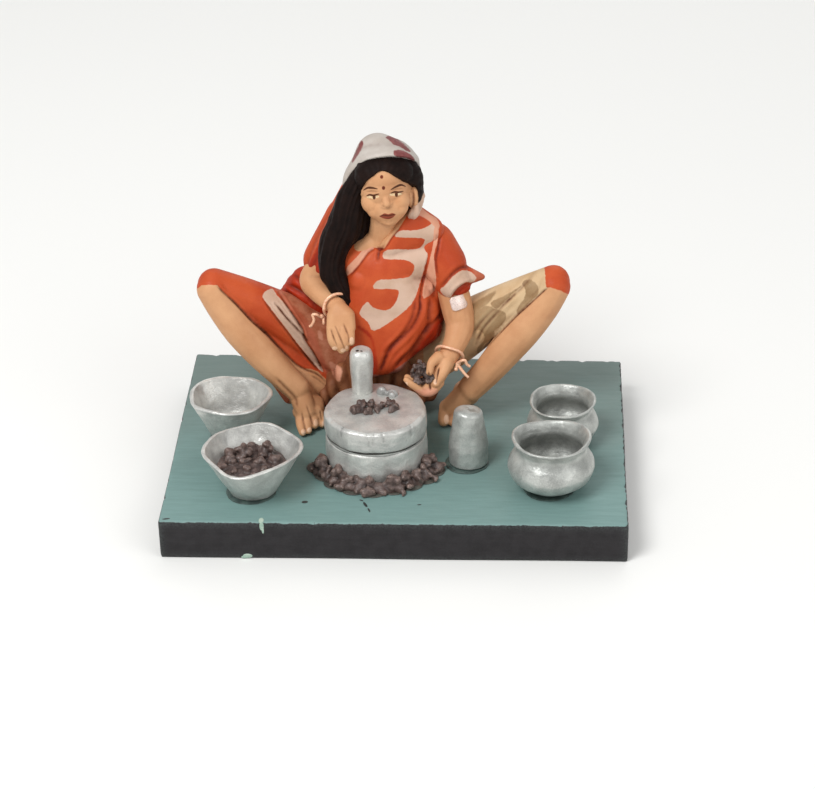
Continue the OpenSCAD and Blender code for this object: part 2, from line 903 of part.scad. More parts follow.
// A flat band round the left upper arm
module armlet_shape(grow = 0) {
    mid = armlet_at * left_shoulder + (1 - armlet_at) * left_elbow;
    run = fig(left_shoulder) - fig(left_elbow);
    length = norm(run);
    translate(fig(mid)) rotate([0, acos(run[2] / length), atan2(run[1], run[0])])
        translate([0, 0, -figure_k * (1.6 + grow)])
            cylinder(r = figure_k * (5.45 + grow), h = figure_k * 2 * (1.6 + grow), $fn = 40);
}

module armlet() {
    color("white") difference() {
        armlet_shape();
        // The band sits on the arm with no gap to see
        arm_at_armlet();
        left_thigh_shape();
        bodice_shape();
    }
}

module arm_at_armlet() {
    chain([left_shoulder + [0, 0, 0, 0.02], left_elbow + [0, 0, 0, 0.02]]);
}

module right_bangle() {
    color("peru") right_bangle_shape();
}

module left_bangle() {
    color("peru") left_bangle_shape();
}

module palm_grain() {
    spot = fig(left_palm + [-2.8, 0, 4.4, 0]);
    color("saddlebrown") difference() {
        lump_pile([spot[0], spot[1]], figure_k * 4, spot[2], 1.6, 12, 301);
        left_hand_shape();
        left_arm_shape();
        bodice_shape();
        runner_space();
    }
}

base_board();
glue_beds();
heap_glue_bed();
quern_lower_stone();
quern_runner_stone();
runner_boss();
quern_handle();
quern_pin();
grain_on_runner();
grain_heap();
bowl_rear();
bowl_rear_crumb();
bowl_front();
grain_in_bowl();
tumbler();
pot_front();
pot_rear();
torso();
seat_nails();
neck_wire();
head();
hair_cap();
hair_fall();
pallu_hood();
pallu_fall();
sari_bodice();
sari_sleeve();
hip_drape();
lap_pleats();
right_thigh();
left_thigh();
right_shin();
left_shin();
right_foot();
left_foot();
right_leg_wire();
left_leg_wire();
right_arm();
left_arm();
right_hand();
left_hand();
right_arm_wire();
left_arm_wire();
right_bangle();
left_bangle();
armlet();
palm_grain();
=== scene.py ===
# Painted clay tableau of a woman grinding grain at a hand quern.
# The frame gives the board, the quern, the vessels and how tall the figure is; her own shapes, the paint and
# the light are made here.
import math
from types import SimpleNamespace
import bpy
import bmesh
import numpy as np
from mathutils import Matrix, Vector


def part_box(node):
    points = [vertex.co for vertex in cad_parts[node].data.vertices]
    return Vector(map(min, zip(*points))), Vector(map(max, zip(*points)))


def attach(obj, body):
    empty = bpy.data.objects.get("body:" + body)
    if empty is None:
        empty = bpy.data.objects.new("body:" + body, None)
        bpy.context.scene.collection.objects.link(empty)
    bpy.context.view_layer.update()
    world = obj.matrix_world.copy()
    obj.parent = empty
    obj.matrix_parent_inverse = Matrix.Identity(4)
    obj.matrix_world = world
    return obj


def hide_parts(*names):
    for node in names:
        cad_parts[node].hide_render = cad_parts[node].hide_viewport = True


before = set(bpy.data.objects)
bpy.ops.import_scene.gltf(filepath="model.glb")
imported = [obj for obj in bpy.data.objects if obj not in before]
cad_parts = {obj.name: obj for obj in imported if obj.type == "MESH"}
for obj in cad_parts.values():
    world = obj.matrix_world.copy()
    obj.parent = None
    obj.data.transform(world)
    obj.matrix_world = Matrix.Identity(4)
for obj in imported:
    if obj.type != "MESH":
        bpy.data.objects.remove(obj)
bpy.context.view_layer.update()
print("frame loaded:", len(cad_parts), "nodes")

bpy.context.scene.view_settings.view_transform = "Standard"


# places taken from the frame, in millimetres

def boxMm(node):
    low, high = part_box(node)
    return Vector(low) * 1000, Vector(high) * 1000


boardLow, boardHigh = boxMm("base_board")
boardTop = boardHigh.z
stoneLow, stoneHigh = boxMm("quern_lower_stone")
quernAt = (stoneLow + stoneHigh) / 2
quernRadius = (stoneHigh.x - stoneLow.x) / 2

# the seated figure is drawn 92.93 mm tall over its hood, from a seat just in front of its nails
drawn = {"hoodTop": 92.93, "nailsBehindSeat": 3.0}
nailLow, nailHigh = boxMm("seat_nails")
figureScale = (boxMm("pallu_hood")[1].z - boardTop) / drawn["hoodTop"]
figureAt = np.array([(nailLow.x + nailHigh.x) / 2,
                     (nailLow.y + nailHigh.y) / 2 - drawn["nailsBehindSeat"] * figureScale, boardTop])


def place(points):
    # figure points (x, y, z, ...) to the frame's millimetres, radii scaled with them
    rows = np.array(points, float)
    rows = rows * figureScale
    rows[..., :3] += figureAt
    return rows


def figureLevel(z):
    # a height on the figure, in the frame's millimetres
    return place([(0, 0, z)])[0][2]


# the viewing side: the camera stands here, and paint patterns are laid on from here
view = {"azimuth": 3.34, "elevation": 31.04, "roll": -1.32, "eye": (42.6, -685.3, 441.5),
        "reach": 816.0, "lens": 114.35}


def viewAxes():
    turn, tip, roll = (math.radians(view[k]) for k in ("azimuth", "elevation", "roll"))
    back = Vector((math.sin(turn) * math.cos(tip), -math.cos(turn) * math.cos(tip), math.sin(tip)))
    right = Vector((math.cos(turn), math.sin(turn), 0))
    up = back.cross(right)
    return (math.cos(roll) * right + math.sin(roll) * up, math.cos(roll) * up - math.sin(roll) * right,
            back)


rightAxis, upAxis, backAxis = viewAxes()
eye = np.array(view["eye"])


def stencil(points):
    # where points fall on a sheet held square to the viewing side, in millimetres
    away = points - eye
    depth = -(away @ np.array(backAxis))
    across, up = away @ np.array(rightAxis), away @ np.array(upAxis)
    return across / depth * view["reach"], up / depth * view["reach"]


def smoothRun(points, perSpan=6, closed=False):
    # a smooth curve through rows of numbers
    rows = np.array(points, float)
    if closed:
        rows = np.vstack([rows[-1:], rows, rows[:2]])
    else:
        rows = np.vstack([2 * rows[0] - rows[1], rows, 2 * rows[-1] - rows[-2]])
    t = np.linspace(0, 1, perSpan, endpoint=False)[:, None]
    out = []
    for i in range(1, len(rows) - 2):
        a, b, c, d = rows[i - 1:i + 3]
        out.append(0.5 * (2 * b + (c - a) * t + (2 * a - 5 * b + 4 * c - d) * t ** 2
                          + (3 * b - a - 3 * c + d) * t ** 3))
    if not closed:
        out.append(rows[-2:-1])
    return np.vstack(out)


def lineDistance(points, line):
    # least distance from each point to a bent line, and how far along it that is, from 0 to 1
    best = np.full(len(points), 1e9)
    along = np.zeros(len(points))
    count = len(line) - 1
    for i in range(count):
        a, b = line[i], line[i + 1]
        run = b - a
        f = np.clip(((points - a) @ run) / max(run @ run, 1e-9), 0, 1)
        gap = np.linalg.norm(points - (a + f[:, None] * run), axis=1)
        near = gap < best
        best[near] = gap[near]
        along[near] = (i + f[near]) / count
    return best, along


def inside(points, loop):
    # signed distance to a closed outline, positive inside
    ring = np.vstack([loop, loop[:1]])
    gap, _ = lineDistance(points, ring)
    odd = np.zeros(len(points), bool)
    x, y = points[:, 0], points[:, 1]
    for (ax, ay), (bx, by) in zip(ring[:-1], ring[1:]):
        cross = ((ay > y) != (by > y)) & (x < (bx - ax) * (y - ay) / (by - ay + 1e-12) + ax)
        odd ^= cross
    return np.where(odd, gap, -gap)


def ease(value, low, high):
    f = np.clip((value - low) / (high - low), 0, 1)
    return f * f * (3 - 2 * f)


def ripple(points, pitch, seed=0.0):
    # a cheap smooth unevenness from -1 to 1, the same every run
    a = points / pitch + seed
    return (np.sin(a[:, 0] * 2.1 + 1.3 * np.sin(a[:, 1] * 1.7)) + np.sin(a[:, 1] * 2.6 + 1.1
                                                                         * np.sin(a[:, 2] * 2.3))
            + np.sin(a[:, 2] * 2.4 + 1.2 * np.sin(a[:, 0] * 1.9))) / 3


def linked(name, data):
    obj = bpy.data.objects.new(name, data)
    bpy.context.scene.collection.objects.link(obj)
    return obj


def meshFrom(bm, name):
    mesh = bpy.data.meshes.new(name)
    bm.to_mesh(mesh)
    bm.free()
    return mesh


# one round bead of each fineness, copied wherever clay is built up
balls = {}


def addBead(bm, centre, size, turn=None, fine=(16, 10)):
    if fine not in balls:
        ball = bmesh.new()
        bmesh.ops.create_uvsphere(ball, u_segments=fine[0], v_segments=fine[1], radius=1)
        balls[fine] = meshFrom(ball, "ball")
    bead = balls[fine].copy()
    bead.transform(Matrix.Translation(Vector(centre)) @ (turn or Matrix.Identity(4))
                   @ Matrix.Diagonal((*size, 1)))
    bm.from_mesh(bead)
    bpy.data.meshes.remove(bead)


def addChain(bm, stations, step=0.3):
    # a run of beads along a smooth curve, in figure points (x, y, z, radius)
    rows = place(stations)
    spans = np.linalg.norm(np.diff(rows[:, :3], axis=0), axis=1)
    perSpan = int(max(2, math.ceil(spans.max() / (step * rows[:, 3].min()))))
    for x, y, z, r in smoothRun(rows, min(perSpan, 26)):
        r = max(r, 0.3)
        addBead(bm, (x, y, z), (r, r, r))


def addWrap(bm, beads):
    # clay pulled tight over a few beads
    part = bmesh.new()
    for x, y, z, r in place(beads):
        addBead(part, (x, y, z), (r, r, r), fine=(20, 14))
    hull = bmesh.ops.convex_hull(part, input=part.verts)
    bmesh.ops.delete(part, geom=list({e for e in hull["geom_interior"] + hull["geom_unused"]
                                      if isinstance(e, bmesh.types.BMVert)}), context="VERTS")
    scrap = meshFrom(part, "scrap")
    bm.from_mesh(scrap)
    bpy.data.meshes.remove(scrap)


def applied(obj):
    # the mesh with its modifiers applied, on a fresh object
    bpy.context.view_layer.update()
    mesh = bpy.data.meshes.new_from_object(obj.evaluated_get(bpy.context.evaluated_depsgraph_get()))
    name = obj.name
    old = obj.data
    bpy.data.objects.remove(obj)
    bpy.data.meshes.remove(old)
    mesh.name = name
    return linked(name, mesh)


def toClay(bm, name, voxel=0.3, smoothing=8):
    # fuses the beads into one skin and opens it for working
    obj = linked(name, meshFrom(bm, name))
    fuse = obj.modifiers.new("fuse", "REMESH")
    fuse.mode = "VOXEL"
    fuse.voxel_size = voxel
    soften = obj.modifiers.new("soften", "SMOOTH")
    soften.factor = 0.5
    soften.iterations = smoothing
    return openMesh(applied(obj))


def readPoints(mesh):
    co = np.empty(len(mesh.vertices) * 3, np.float32)
    mesh.vertices.foreach_get("co", co)
    return co.reshape(-1, 3).astype(float)


def readNormals(mesh):
    no = np.empty(len(mesh.vertices) * 3, np.float32)
    mesh.vertex_normals.foreach_get("vector", no)
    return no.reshape(-1, 3).astype(float)


def openMesh(obj):
    mesh = obj.data
    clay = SimpleNamespace(obj=obj, mesh=mesh, co=readPoints(mesh), crease=np.zeros(len(mesh.vertices)))
    return look(clay)


def look(clay):
    # writes the points back and reads the new normals and stencil places
    clay.mesh.vertices.foreach_set("co", clay.co.astype(np.float32).ravel())
    clay.mesh.update()
    clay.no = readNormals(clay.mesh)
    clay.s, clay.t = stencil(clay.co)
    clay.st = np.column_stack([clay.s, clay.t])
    toEye = eye - clay.co
    clay.facing = (clay.no * toEye).sum(1) / np.linalg.norm(toEye, axis=1)
    return clay


def push(clay, amount):
    clay.co += clay.no * amount[:, None]


def press(clay, line, depth, width, ridge=0.0, paintedShade=1.0):
    # a tool line pressed into the clay where a stencil line falls on it, with a soft ridge beside it and
    # painted shade in its groove
    gap, along = lineDistance(clay.st, smoothRun(line, 5))
    ends = ease(along, 0.0, 0.12) * (1 - ease(along, 0.88, 1.0))
    seen = ease(clay.facing, 0.0, 0.25) * (0.35 + 0.65 * ends)
    cut = np.exp(-(gap / width) ** 2) * seen
    lift = np.exp(-((gap - 2 * width) / width) ** 2) * seen
    push(clay, ridge * lift - depth * cut)
    clay.crease += paintedShade * cut


def dent(clay, centre, radius, depth):
    gap = np.linalg.norm(clay.co - np.array(centre), axis=1)
    push(clay, -depth * np.exp(-(gap / radius) ** 2))


def setLayer(clay, name, values):
    layer = clay.mesh.attributes.new(name, "FLOAT", "POINT")
    layer.data.foreach_set("value", np.asarray(values, np.float32))


# the distance given to points that a paint layer does not reach
unpainted = -3.0


def onFront(clay, loop, smooth=4):
    # signed distance to a stencil outline on the side that faces it, and outside everywhere else
    value = inside(clay.st, smoothRun(loop, smooth, closed=True) if smooth else np.array(loop, float))
    return np.where(clay.facing > 0.02, value, np.minimum(value, unpainted))


def cavity(clay, rounds=6):
    # how hollow each point is: above 0 in creases, below 0 on edges
    count = len(clay.mesh.edges)
    ends = np.empty(count * 2, np.int32)
    clay.mesh.edges.foreach_get("vertices", ends)
    a, b = ends.reshape(-1, 2).T
    share = np.bincount(a, minlength=len(clay.co)) + np.bincount(b, minlength=len(clay.co))
    share = np.maximum(share, 1)

    def mean(values):
        return (np.bincount(a, values[b], len(values)) + np.bincount(b, values[a], len(values))) / share
    soft = np.column_stack([mean(clay.co[:, k]) for k in range(3)])
    for _ in range(rounds - 1):
        soft = np.column_stack([mean(soft[:, k]) for k in range(3)])
    hollow = ((soft - clay.co) * clay.no).sum(1)
    for _ in range(2):
        hollow = mean(hollow)
    return hollow


def finish(clay, material, nodes, body="tableau", hollowGain=5.0, flat=True):
    # last touches on a clay piece: feet on the board, crease shading, metres, material and body
    if flat:
        clay.co[:, 2] = np.maximum(clay.co[:, 2], boardTop + 0.02)
    look(clay)
    hollow = cavity(clay)
    setLayer(clay, "crease", np.clip(clay.crease + np.clip(hollow, 0, 1) * hollowGain, 0, 1.5))
    setLayer(clay, "edge", np.clip(-hollow, 0, 1) * hollowGain)
    clay.mesh.transform(Matrix.Scale(0.001, 4))
    clay.mesh.polygons.foreach_set("use_smooth", [True] * len(clay.mesh.polygons))
    clay.mesh.materials.clear()
    clay.mesh.materials.append(material)
    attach(clay.obj, body)
    if nodes:
        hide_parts(*nodes)
    print("made", clay.obj.name, len(clay.mesh.polygons), "faces")


def paint(red, green, blue):
    # a paint's colour as seen, turned into the light values that the shader wants
    return tuple((c / 12.92 if c <= 0.04045 else ((c + 0.055) / 1.055) ** 2.4)
                 for c in (red, green, blue)) + (1.0,)


def addNode(tree, kind, inputs=None, **settings):
    node = tree.nodes.new("ShaderNode" + kind)
    for key, value in settings.items():
        setattr(node, key, value)
    for key, value in (inputs or {}).items():
        if isinstance(value, bpy.types.NodeSocket):
            tree.links.new(value, node.inputs[key])
        else:
            node.inputs[key].default_value = value
    return node


def millimetres(tree):
    where = addNode(tree, "TexCoord")
    return addNode(tree, "VectorMath", {0: where.outputs["Object"], "Scale": 1000.0},
                   operation="SCALE").outputs[0]


def sums(tree, operation, a, b, clamp=False):
    return addNode(tree, "Math", {0: a, 1: b}, operation=operation, use_clamp=clamp).outputs[0]


def blended(tree, factor, under, over):
    return addNode(tree, "Mix", {0: factor, 6: under, 7: over}, data_type="RGBA").outputs[2]


def newGroup(name, inputs, outputs):
    group = bpy.data.node_groups.new(name, "ShaderNodeTree")
    for label, value in inputs.items():
        kind = "NodeSocketColor" if isinstance(value, tuple) else "NodeSocketFloat"
        group.interface.new_socket(name=label, in_out="INPUT", socket_type=kind).default_value = value
    for label, kind in outputs.items():
        group.interface.new_socket(name=label, in_out="OUTPUT", socket_type=kind)
    return group, group.nodes.new("NodeGroupInput").outputs, group.nodes.new("NodeGroupOutput").inputs


def makeBrushedColour():
    # two paints that drift into each other in patches, with a fine speckle
    group, i, o = newGroup("brushedColour", {"Light": (1.0, 1.0, 1.0, 1.0), "Deep": (0.5, 0.5, 0.5, 1.0),
                                             "Patch": 0.25,
                                             "Speckle": 0.15}, {"Color": "NodeSocketColor"})
    where = millimetres(group)
    broad = addNode(group, "TexNoise", {"Vector": where, "Scale": i["Patch"], "Detail": 3.0}).outputs["Fac"]
    fine = addNode(group, "TexNoise", {"Vector": where, "Scale": 3.2, "Detail": 2.0}).outputs["Fac"]
    patch = addNode(group, "MapRange", {0: broad, 1: 0.35, 2: 0.68}).outputs[0]
    speck = sums(group, "MULTIPLY", sums(group, "SUBTRACT", fine, 0.5), i["Speckle"])
    factor = sums(group, "ADD", patch, sums(group, "MULTIPLY", speck, 4.0), True)
    group.links.new(blended(group, factor, i["Light"], i["Deep"]), o["Color"])
    return group


def makePaintLayer():
    # one paint laid over another up to a hand-painted edge
    group, i, o = newGroup("paintLayer", {"Under": (1.0, 1.0, 1.0, 1.0), "Paint": (1.0, 1.0, 1.0, 1.0),
                                          "Distance": 0.0,
                                          "Wobble": 0.3, "Softness": 0.12},
                           {"Color": "NodeSocketColor", "Mask": "NodeSocketFloat"})
    shake = addNode(group, "TexNoise", {"Vector": millimetres(group), "Scale": 1.1,
                                        "Detail": 3.0}).outputs["Fac"]
    edge = sums(group, "ADD", i["Distance"], sums(group, "MULTIPLY", sums(group, "SUBTRACT", shake, 0.5),
                                                  i["Wobble"]))
    low = sums(group, "MULTIPLY", i["Softness"], -1.0)
    mask = addNode(group, "MapRange", {0: edge, 1: low, 2: i["Softness"]},
                   interpolation_type="SMOOTHSTEP").outputs[0]
    group.links.new(blended(group, mask, i["Under"], i["Paint"]), o["Color"])
    group.links.new(mask, o["Mask"])
    return group


def makePaintedCreaseShade():
    # painted shade: a dark colour that stays in the creases
    group, i, o = newGroup("paintedCreaseShade", {"Color": (1.0, 1.0, 1.0, 1.0), "ShadeColour": (0.1, 0.05, 0.03, 1.0),
                                          "Crease": 0.0,
                                          "Strength": 0.8}, {"Color": "NodeSocketColor"})
    drift = addNode(group, "TexNoise", {"Vector": millimetres(group), "Scale": 0.8,
                                        "Detail": 2.0}).outputs["Fac"]
    amount = sums(group, "MULTIPLY", i["Crease"], sums(group, "ADD", drift, 0.45))
    factor = sums(group, "MULTIPLY", amount, i["Strength"], True)
    group.links.new(blended(group, factor, i["Color"], i["ShadeColour"]), o["Color"])
    return group


def makeWornAndHighlitEdge():
    # paint worn thin where the clay stands out, and a painted highlight there
    group, i, o = newGroup("wornAndHighlitEdge", {"Color": (1.0, 1.0, 1.0, 1.0), "WornAndHighlit": (1.0, 1.0, 1.0, 1.0),
                                          "Edge": 0.0,
                                          "Strength": 0.6}, {"Color": "NodeSocketColor"})
    spots = addNode(group, "TexNoise", {"Vector": millimetres(group), "Scale": 1.8,
                                        "Detail": 4.0}).outputs["Fac"]
    amount = sums(group, "MULTIPLY", i["Edge"], addNode(group, "MapRange",
                                                        {0: spots, 1: 0.35, 2: 0.7}).outputs[0])
    factor = sums(group, "MULTIPLY", amount, i["Strength"], True)
    group.links.new(blended(group, factor, i["Color"], i["WornAndHighlit"]), o["Color"])
    return group


def makeClayRelief():
    # thumbed clay under brushed paint, as a height in millimetres
    group, i, o = newGroup("clayRelief", {"Thumbing": 0.1, "Brush": 0.03, "Pits": 0.0},
                           {"Height": "NodeSocketFloat"})
    where = millimetres(group)
    broad = addNode(group, "TexNoise", {"Vector": where, "Scale": 0.45, "Detail": 2.0}).outputs["Fac"]
    fine = addNode(group, "TexNoise", {"Vector": where, "Scale": 2.6, "Detail": 4.0}).outputs["Fac"]
    cells = addNode(group, "TexVoronoi", {"Vector": where, "Scale": 0.9}).outputs["Distance"]
    pits = addNode(group, "MapRange", {0: cells, 1: 0.0, 2: 0.16, 3: -1.0, 4: 0.0}).outputs[0]
    height = sums(group, "ADD", sums(group, "MULTIPLY", broad, i["Thumbing"]),
                  sums(group, "MULTIPLY", fine, i["Brush"]))
    group.links.new(sums(group, "ADD", height, sums(group, "MULTIPLY", pits, i["Pits"])), o["Height"])
    return group


effects = {"brushed": makeBrushedColour(), "layer": makePaintLayer(), "paintedShade": makePaintedCreaseShade(),
           "wornAndHighlit": makeWornAndHighlitEdge(), "relief": makeClayRelief()}


def fillGroup(tree, name, inputs):
    node = tree.nodes.new("ShaderNodeGroup")
    node.node_tree = effects[name]
    for key, value in inputs.items():
        if isinstance(value, bpy.types.NodeSocket):
            tree.links.new(value, node.inputs[key])
        else:
            node.inputs[key].default_value = value
    return node.outputs


def newMaterial(name):
    material = bpy.data.materials.new(name)
    material.use_nodes = True
    return material, material.node_tree, material.node_tree.nodes["Principled BSDF"]


def setGloss(tree, surface, scale, detail, low, high):
    # roughness that drifts between two values over the piece
    drift = addNode(tree, "TexNoise", {"Vector": millimetres(tree), "Scale": scale,
                                       "Detail": detail}).outputs["Fac"]
    gloss = addNode(tree, "MapRange", {0: drift, 1: 0.3, 2: 0.7, 3: low, 4: high}).outputs[0]
    tree.links.new(gloss, surface.inputs["Roughness"])


def setBump(tree, surface, height, strength):
    # heights are in millimetres
    bump = addNode(tree, "Bump", {"Height": height, "Distance": 0.001, "Strength": strength})
    tree.links.new(bump.outputs[0], surface.inputs["Normal"])


def layerValue(tree, name):
    return addNode(tree, "Attribute", attribute_name=name).outputs["Fac"]


# paints by their pot: light and deep mix, and how wide the patches drift
pots = {
    "skin": (paint(0.82, 0.62, 0.455), paint(0.76, 0.55, 0.39), 0.12),
    "orange": (paint(0.76, 0.325, 0.16), paint(0.69, 0.25, 0.105), 0.10),
    "deepOrange": (paint(0.69, 0.20, 0.07), paint(0.59, 0.14, 0.04), 0.12),
    "cream": (paint(0.81, 0.69, 0.61), paint(0.76, 0.63, 0.54), 0.15),
    "pinkCream": (paint(0.84, 0.61, 0.50), paint(0.79, 0.54, 0.43), 0.2),
    "dullPink": (paint(0.74, 0.42, 0.31), paint(0.66, 0.33, 0.22), 0.2),
    "mauve": (paint(0.62, 0.40, 0.34), paint(0.52, 0.29, 0.23), 0.3),
    "hood": (paint(0.75, 0.72, 0.69), paint(0.68, 0.64, 0.60), 0.12),
    "blotch": (paint(0.54, 0.31, 0.30), paint(0.44, 0.22, 0.22), 0.5),
    "fold": (paint(0.76, 0.50, 0.38), paint(0.65, 0.37, 0.25), 0.4),
    "sand": (paint(0.82, 0.71, 0.56), paint(0.76, 0.63, 0.47), 0.12),
    "khaki": (paint(0.66, 0.55, 0.41), paint(0.57, 0.45, 0.31), 0.2),
    "earth": (paint(0.56, 0.36, 0.24), paint(0.45, 0.26, 0.16), 0.2),
    "beige": (paint(0.82, 0.61, 0.44), paint(0.76, 0.53, 0.36), 0.2),
    "hair": (paint(0.115, 0.065, 0.05), paint(0.07, 0.038, 0.03), 0.3),
    "nail": (paint(0.93, 0.78, 0.66), paint(0.89, 0.71, 0.57), 0.5),
    "ink": (paint(0.34, 0.17, 0.06), paint(0.25, 0.12, 0.04), 0.8),
    "eyeWhite": (paint(0.94, 0.84, 0.68), paint(0.90, 0.77, 0.58), 0.8),
    "lip": (paint(0.56, 0.26, 0.17), paint(0.47, 0.19, 0.12), 0.8),
    "vermilion": (paint(0.44, 0.18, 0.09), paint(0.37, 0.14, 0.07), 0.8),
}
brownShade = paint(0.34, 0.16, 0.07)
redShade = paint(0.43, 0.12, 0.04)


def paintedClay(name, ground, layers, paintedShade, shadeStrength=0.8, shine=0.52, thumbing=0.12, brush=0.05,
                wornAndHighlit=None, polish=0.26):
    # ground paint, then each layer (attribute, pot, wobble, softness) over it, then painted shade in the
    # creases
    material, tree, surface = newMaterial(name)
    light, deep, patch = pots[ground]
    colour = fillGroup(tree, "brushed", {"Light": light, "Deep": deep, "Patch": patch})["Color"]
    for attribute, pot, wobble, softness in layers:
        light, deep, patch = pots[pot]
        over = fillGroup(tree, "brushed", {"Light": light, "Deep": deep, "Patch": patch})["Color"]
        colour = fillGroup(tree, "layer", {"Under": colour, "Paint": over,
                                           "Distance": layerValue(tree, attribute),
                                           "Wobble": wobble, "Softness": softness})["Color"]
    colour = fillGroup(tree, "paintedShade", {"Color": colour, "ShadeColour": paintedShade, "Crease": layerValue(tree, "crease"),
                                      "Strength": shadeStrength})["Color"]
    if wornAndHighlit:
        colour = fillGroup(tree, "wornAndHighlit", {"Color": colour, "WornAndHighlit": wornAndHighlit,
                                            "Edge": layerValue(tree, "edge"),
                                            "Strength": 0.5})["Color"]
    tree.links.new(colour, surface.inputs["Base Color"])
    setGloss(tree, surface, 0.9, 3.0, shine - 0.08, shine + 0.12)
    surface.inputs["Specular IOR Level"].default_value = polish
    height = fillGroup(tree, "relief", {"Thumbing": thumbing, "Brush": brush})["Height"]
    setBump(tree, surface, height, 0.7)
    return material


def silverPaint(name, light=(0.82, 0.82, 0.80), deep=(0.70, 0.70, 0.685), shine=0.34, thumbing=0.3,
                layers=()):
    # aluminium paint brushed over clay: flakes, grime and painted shade in the creases, worn bright and
    # painted highlight on the edges
    material, tree, surface = newMaterial(name)
    colour = fillGroup(tree, "brushed", {"Light": paint(*light), "Deep": paint(*deep), "Patch": 0.22,
                                         "Speckle": 0.3})["Color"]
    for attribute, shade, wobble, softness in layers:
        colour = fillGroup(tree, "layer", {"Under": colour, "Paint": paint(*shade), "Wobble": wobble,
                                           "Softness": softness,
                                           "Distance": layerValue(tree, attribute)})["Color"]
    colour = fillGroup(tree, "paintedShade", {"Color": colour, "ShadeColour": paint(0.33, 0.32, 0.31), "Strength": 0.75,
                                      "Crease": layerValue(tree, "crease")})["Color"]
    colour = fillGroup(tree, "wornAndHighlit", {"Color": colour, "WornAndHighlit": paint(0.92, 0.92, 0.90), "Strength": 0.8,
                                        "Edge": layerValue(tree, "edge")})["Color"]
    tree.links.new(colour, surface.inputs["Base Color"])
    surface.inputs["Metallic"].default_value = 0.42
    setGloss(tree, surface, 5.0, 3.0, shine - 0.08, shine + 0.14)
    height = fillGroup(tree, "relief", {"Thumbing": thumbing, "Brush": 0.09, "Pits": 0.05})["Height"]
    setBump(tree, surface, height, 0.8)
    return material


def plainFinish(name, light, deep, shine, metallic=0.0, patch=0.4, thumbing=0.1, brush=0.05, shadeAndHighlight=None):
    material, tree, surface = newMaterial(name)
    colour = fillGroup(tree, "brushed", {"Light": paint(*light), "Deep": paint(*deep), "Patch": patch,
                                         "Speckle": 0.35})["Color"]
    # painted shade in the creases, then worn paint and painted highlight on the edges
    if shadeAndHighlight:
        colour = fillGroup(tree, "paintedShade", {"Color": colour, "ShadeColour": paint(*shadeAndHighlight[0]), "Strength": 0.9,
                                          "Crease": layerValue(tree, "crease")})["Color"]
        colour = fillGroup(tree, "wornAndHighlit", {"Color": colour, "WornAndHighlit": paint(*shadeAndHighlight[1]), "Strength": 0.7,
                                            "Edge": layerValue(tree, "edge")})["Color"]
    tree.links.new(colour, surface.inputs["Base Color"])
    surface.inputs["Metallic"].default_value = metallic
    setGloss(tree, surface, 1.5, 2.0, shine - 0.07, shine + 0.1)
    height = fillGroup(tree, "relief", {"Thumbing": thumbing, "Brush": brush})["Height"]
    setBump(tree, surface, height, 0.7)
    return material


board = {"voxel": 0.6, "edge": 0.35, "top": (0.455, 0.575, 0.56), "topDeep": (0.435, 0.55, 0.535),
         "rear": (0.42, 0.475, 0.455), "side": (0.135, 0.125, 0.135), "sideDeep": (0.095, 0.085, 0.095)}


def boardPaint():
    material, tree, surface = newMaterial("boardPaint")
    where = millimetres(tree)
    along = addNode(tree, "Mapping", {"Vector": where, "Scale": (0.12, 1.0, 1.0)}).outputs[0]
    brushed = addNode(tree, "TexNoise", {"Vector": along, "Scale": 0.9, "Detail": 5.0,
                                         "Roughness": 0.6}).outputs["Fac"]
    streak = addNode(tree, "MapRange", {0: brushed, 1: 0.35, 2: 0.7}).outputs[0]
    top = blended(tree, streak, paint(*board["top"]), paint(*board["topDeep"]))
    # painted shade: the top paint greys and darkens towards the back
    depth = addNode(tree, "SeparateXYZ", {0: where}).outputs[1]
    drift = addNode(tree, "TexNoise", {"Vector": where, "Scale": 0.05, "Detail": 4.0}).outputs["Fac"]
    shaken = sums(tree, "ADD", depth, sums(tree, "MULTIPLY", sums(tree, "SUBTRACT", drift, 0.5), 60.0))
    rearShade = addNode(tree, "MapRange", {0: shaken, 1: -38.0, 2: 44.0},
                   interpolation_type="SMOOTHSTEP").outputs[0]
    top = blended(tree, sums(tree, "MULTIPLY", rearShade, 0.85), top, paint(*board["rear"]))
    side = fillGroup(tree, "brushed", {"Light": paint(*board["side"]), "Deep": paint(*board["sideDeep"]),
                                       "Patch": 0.3,
                                       "Speckle": 0.4})["Color"]
    colour = fillGroup(tree, "layer", {"Under": side, "Paint": top, "Distance": layerValue(tree, "topFace"),
                                       "Wobble": 1.2, "Softness": 0.1})["Color"]
    # worn paint and a faint painted highlight along the edges
    colour = fillGroup(tree, "wornAndHighlit", {"Color": colour, "WornAndHighlit": paint(0.50, 0.56, 0.54),
                                        "Strength": 0.12,
                                        "Edge": layerValue(tree, "edge")})["Color"]
    tree.links.new(colour, surface.inputs["Base Color"])
    gloss = addNode(tree, "MapRange", {0: brushed, 1: 0.3, 2: 0.7, 3: 0.42, 4: 0.62}).outputs[0]
    tree.links.new(gloss, surface.inputs["Roughness"])
    surface.inputs["Specular IOR Level"].default_value = 0.35
    relief = fillGroup(tree, "relief", {"Thumbing": 0.12, "Brush": 0.03, "Pits": 0.05})["Height"]
    height = sums(tree, "ADD", relief, sums(tree, "MULTIPLY", brushed, 0.05))
    setBump(tree, surface, height, 0.6)
    return material


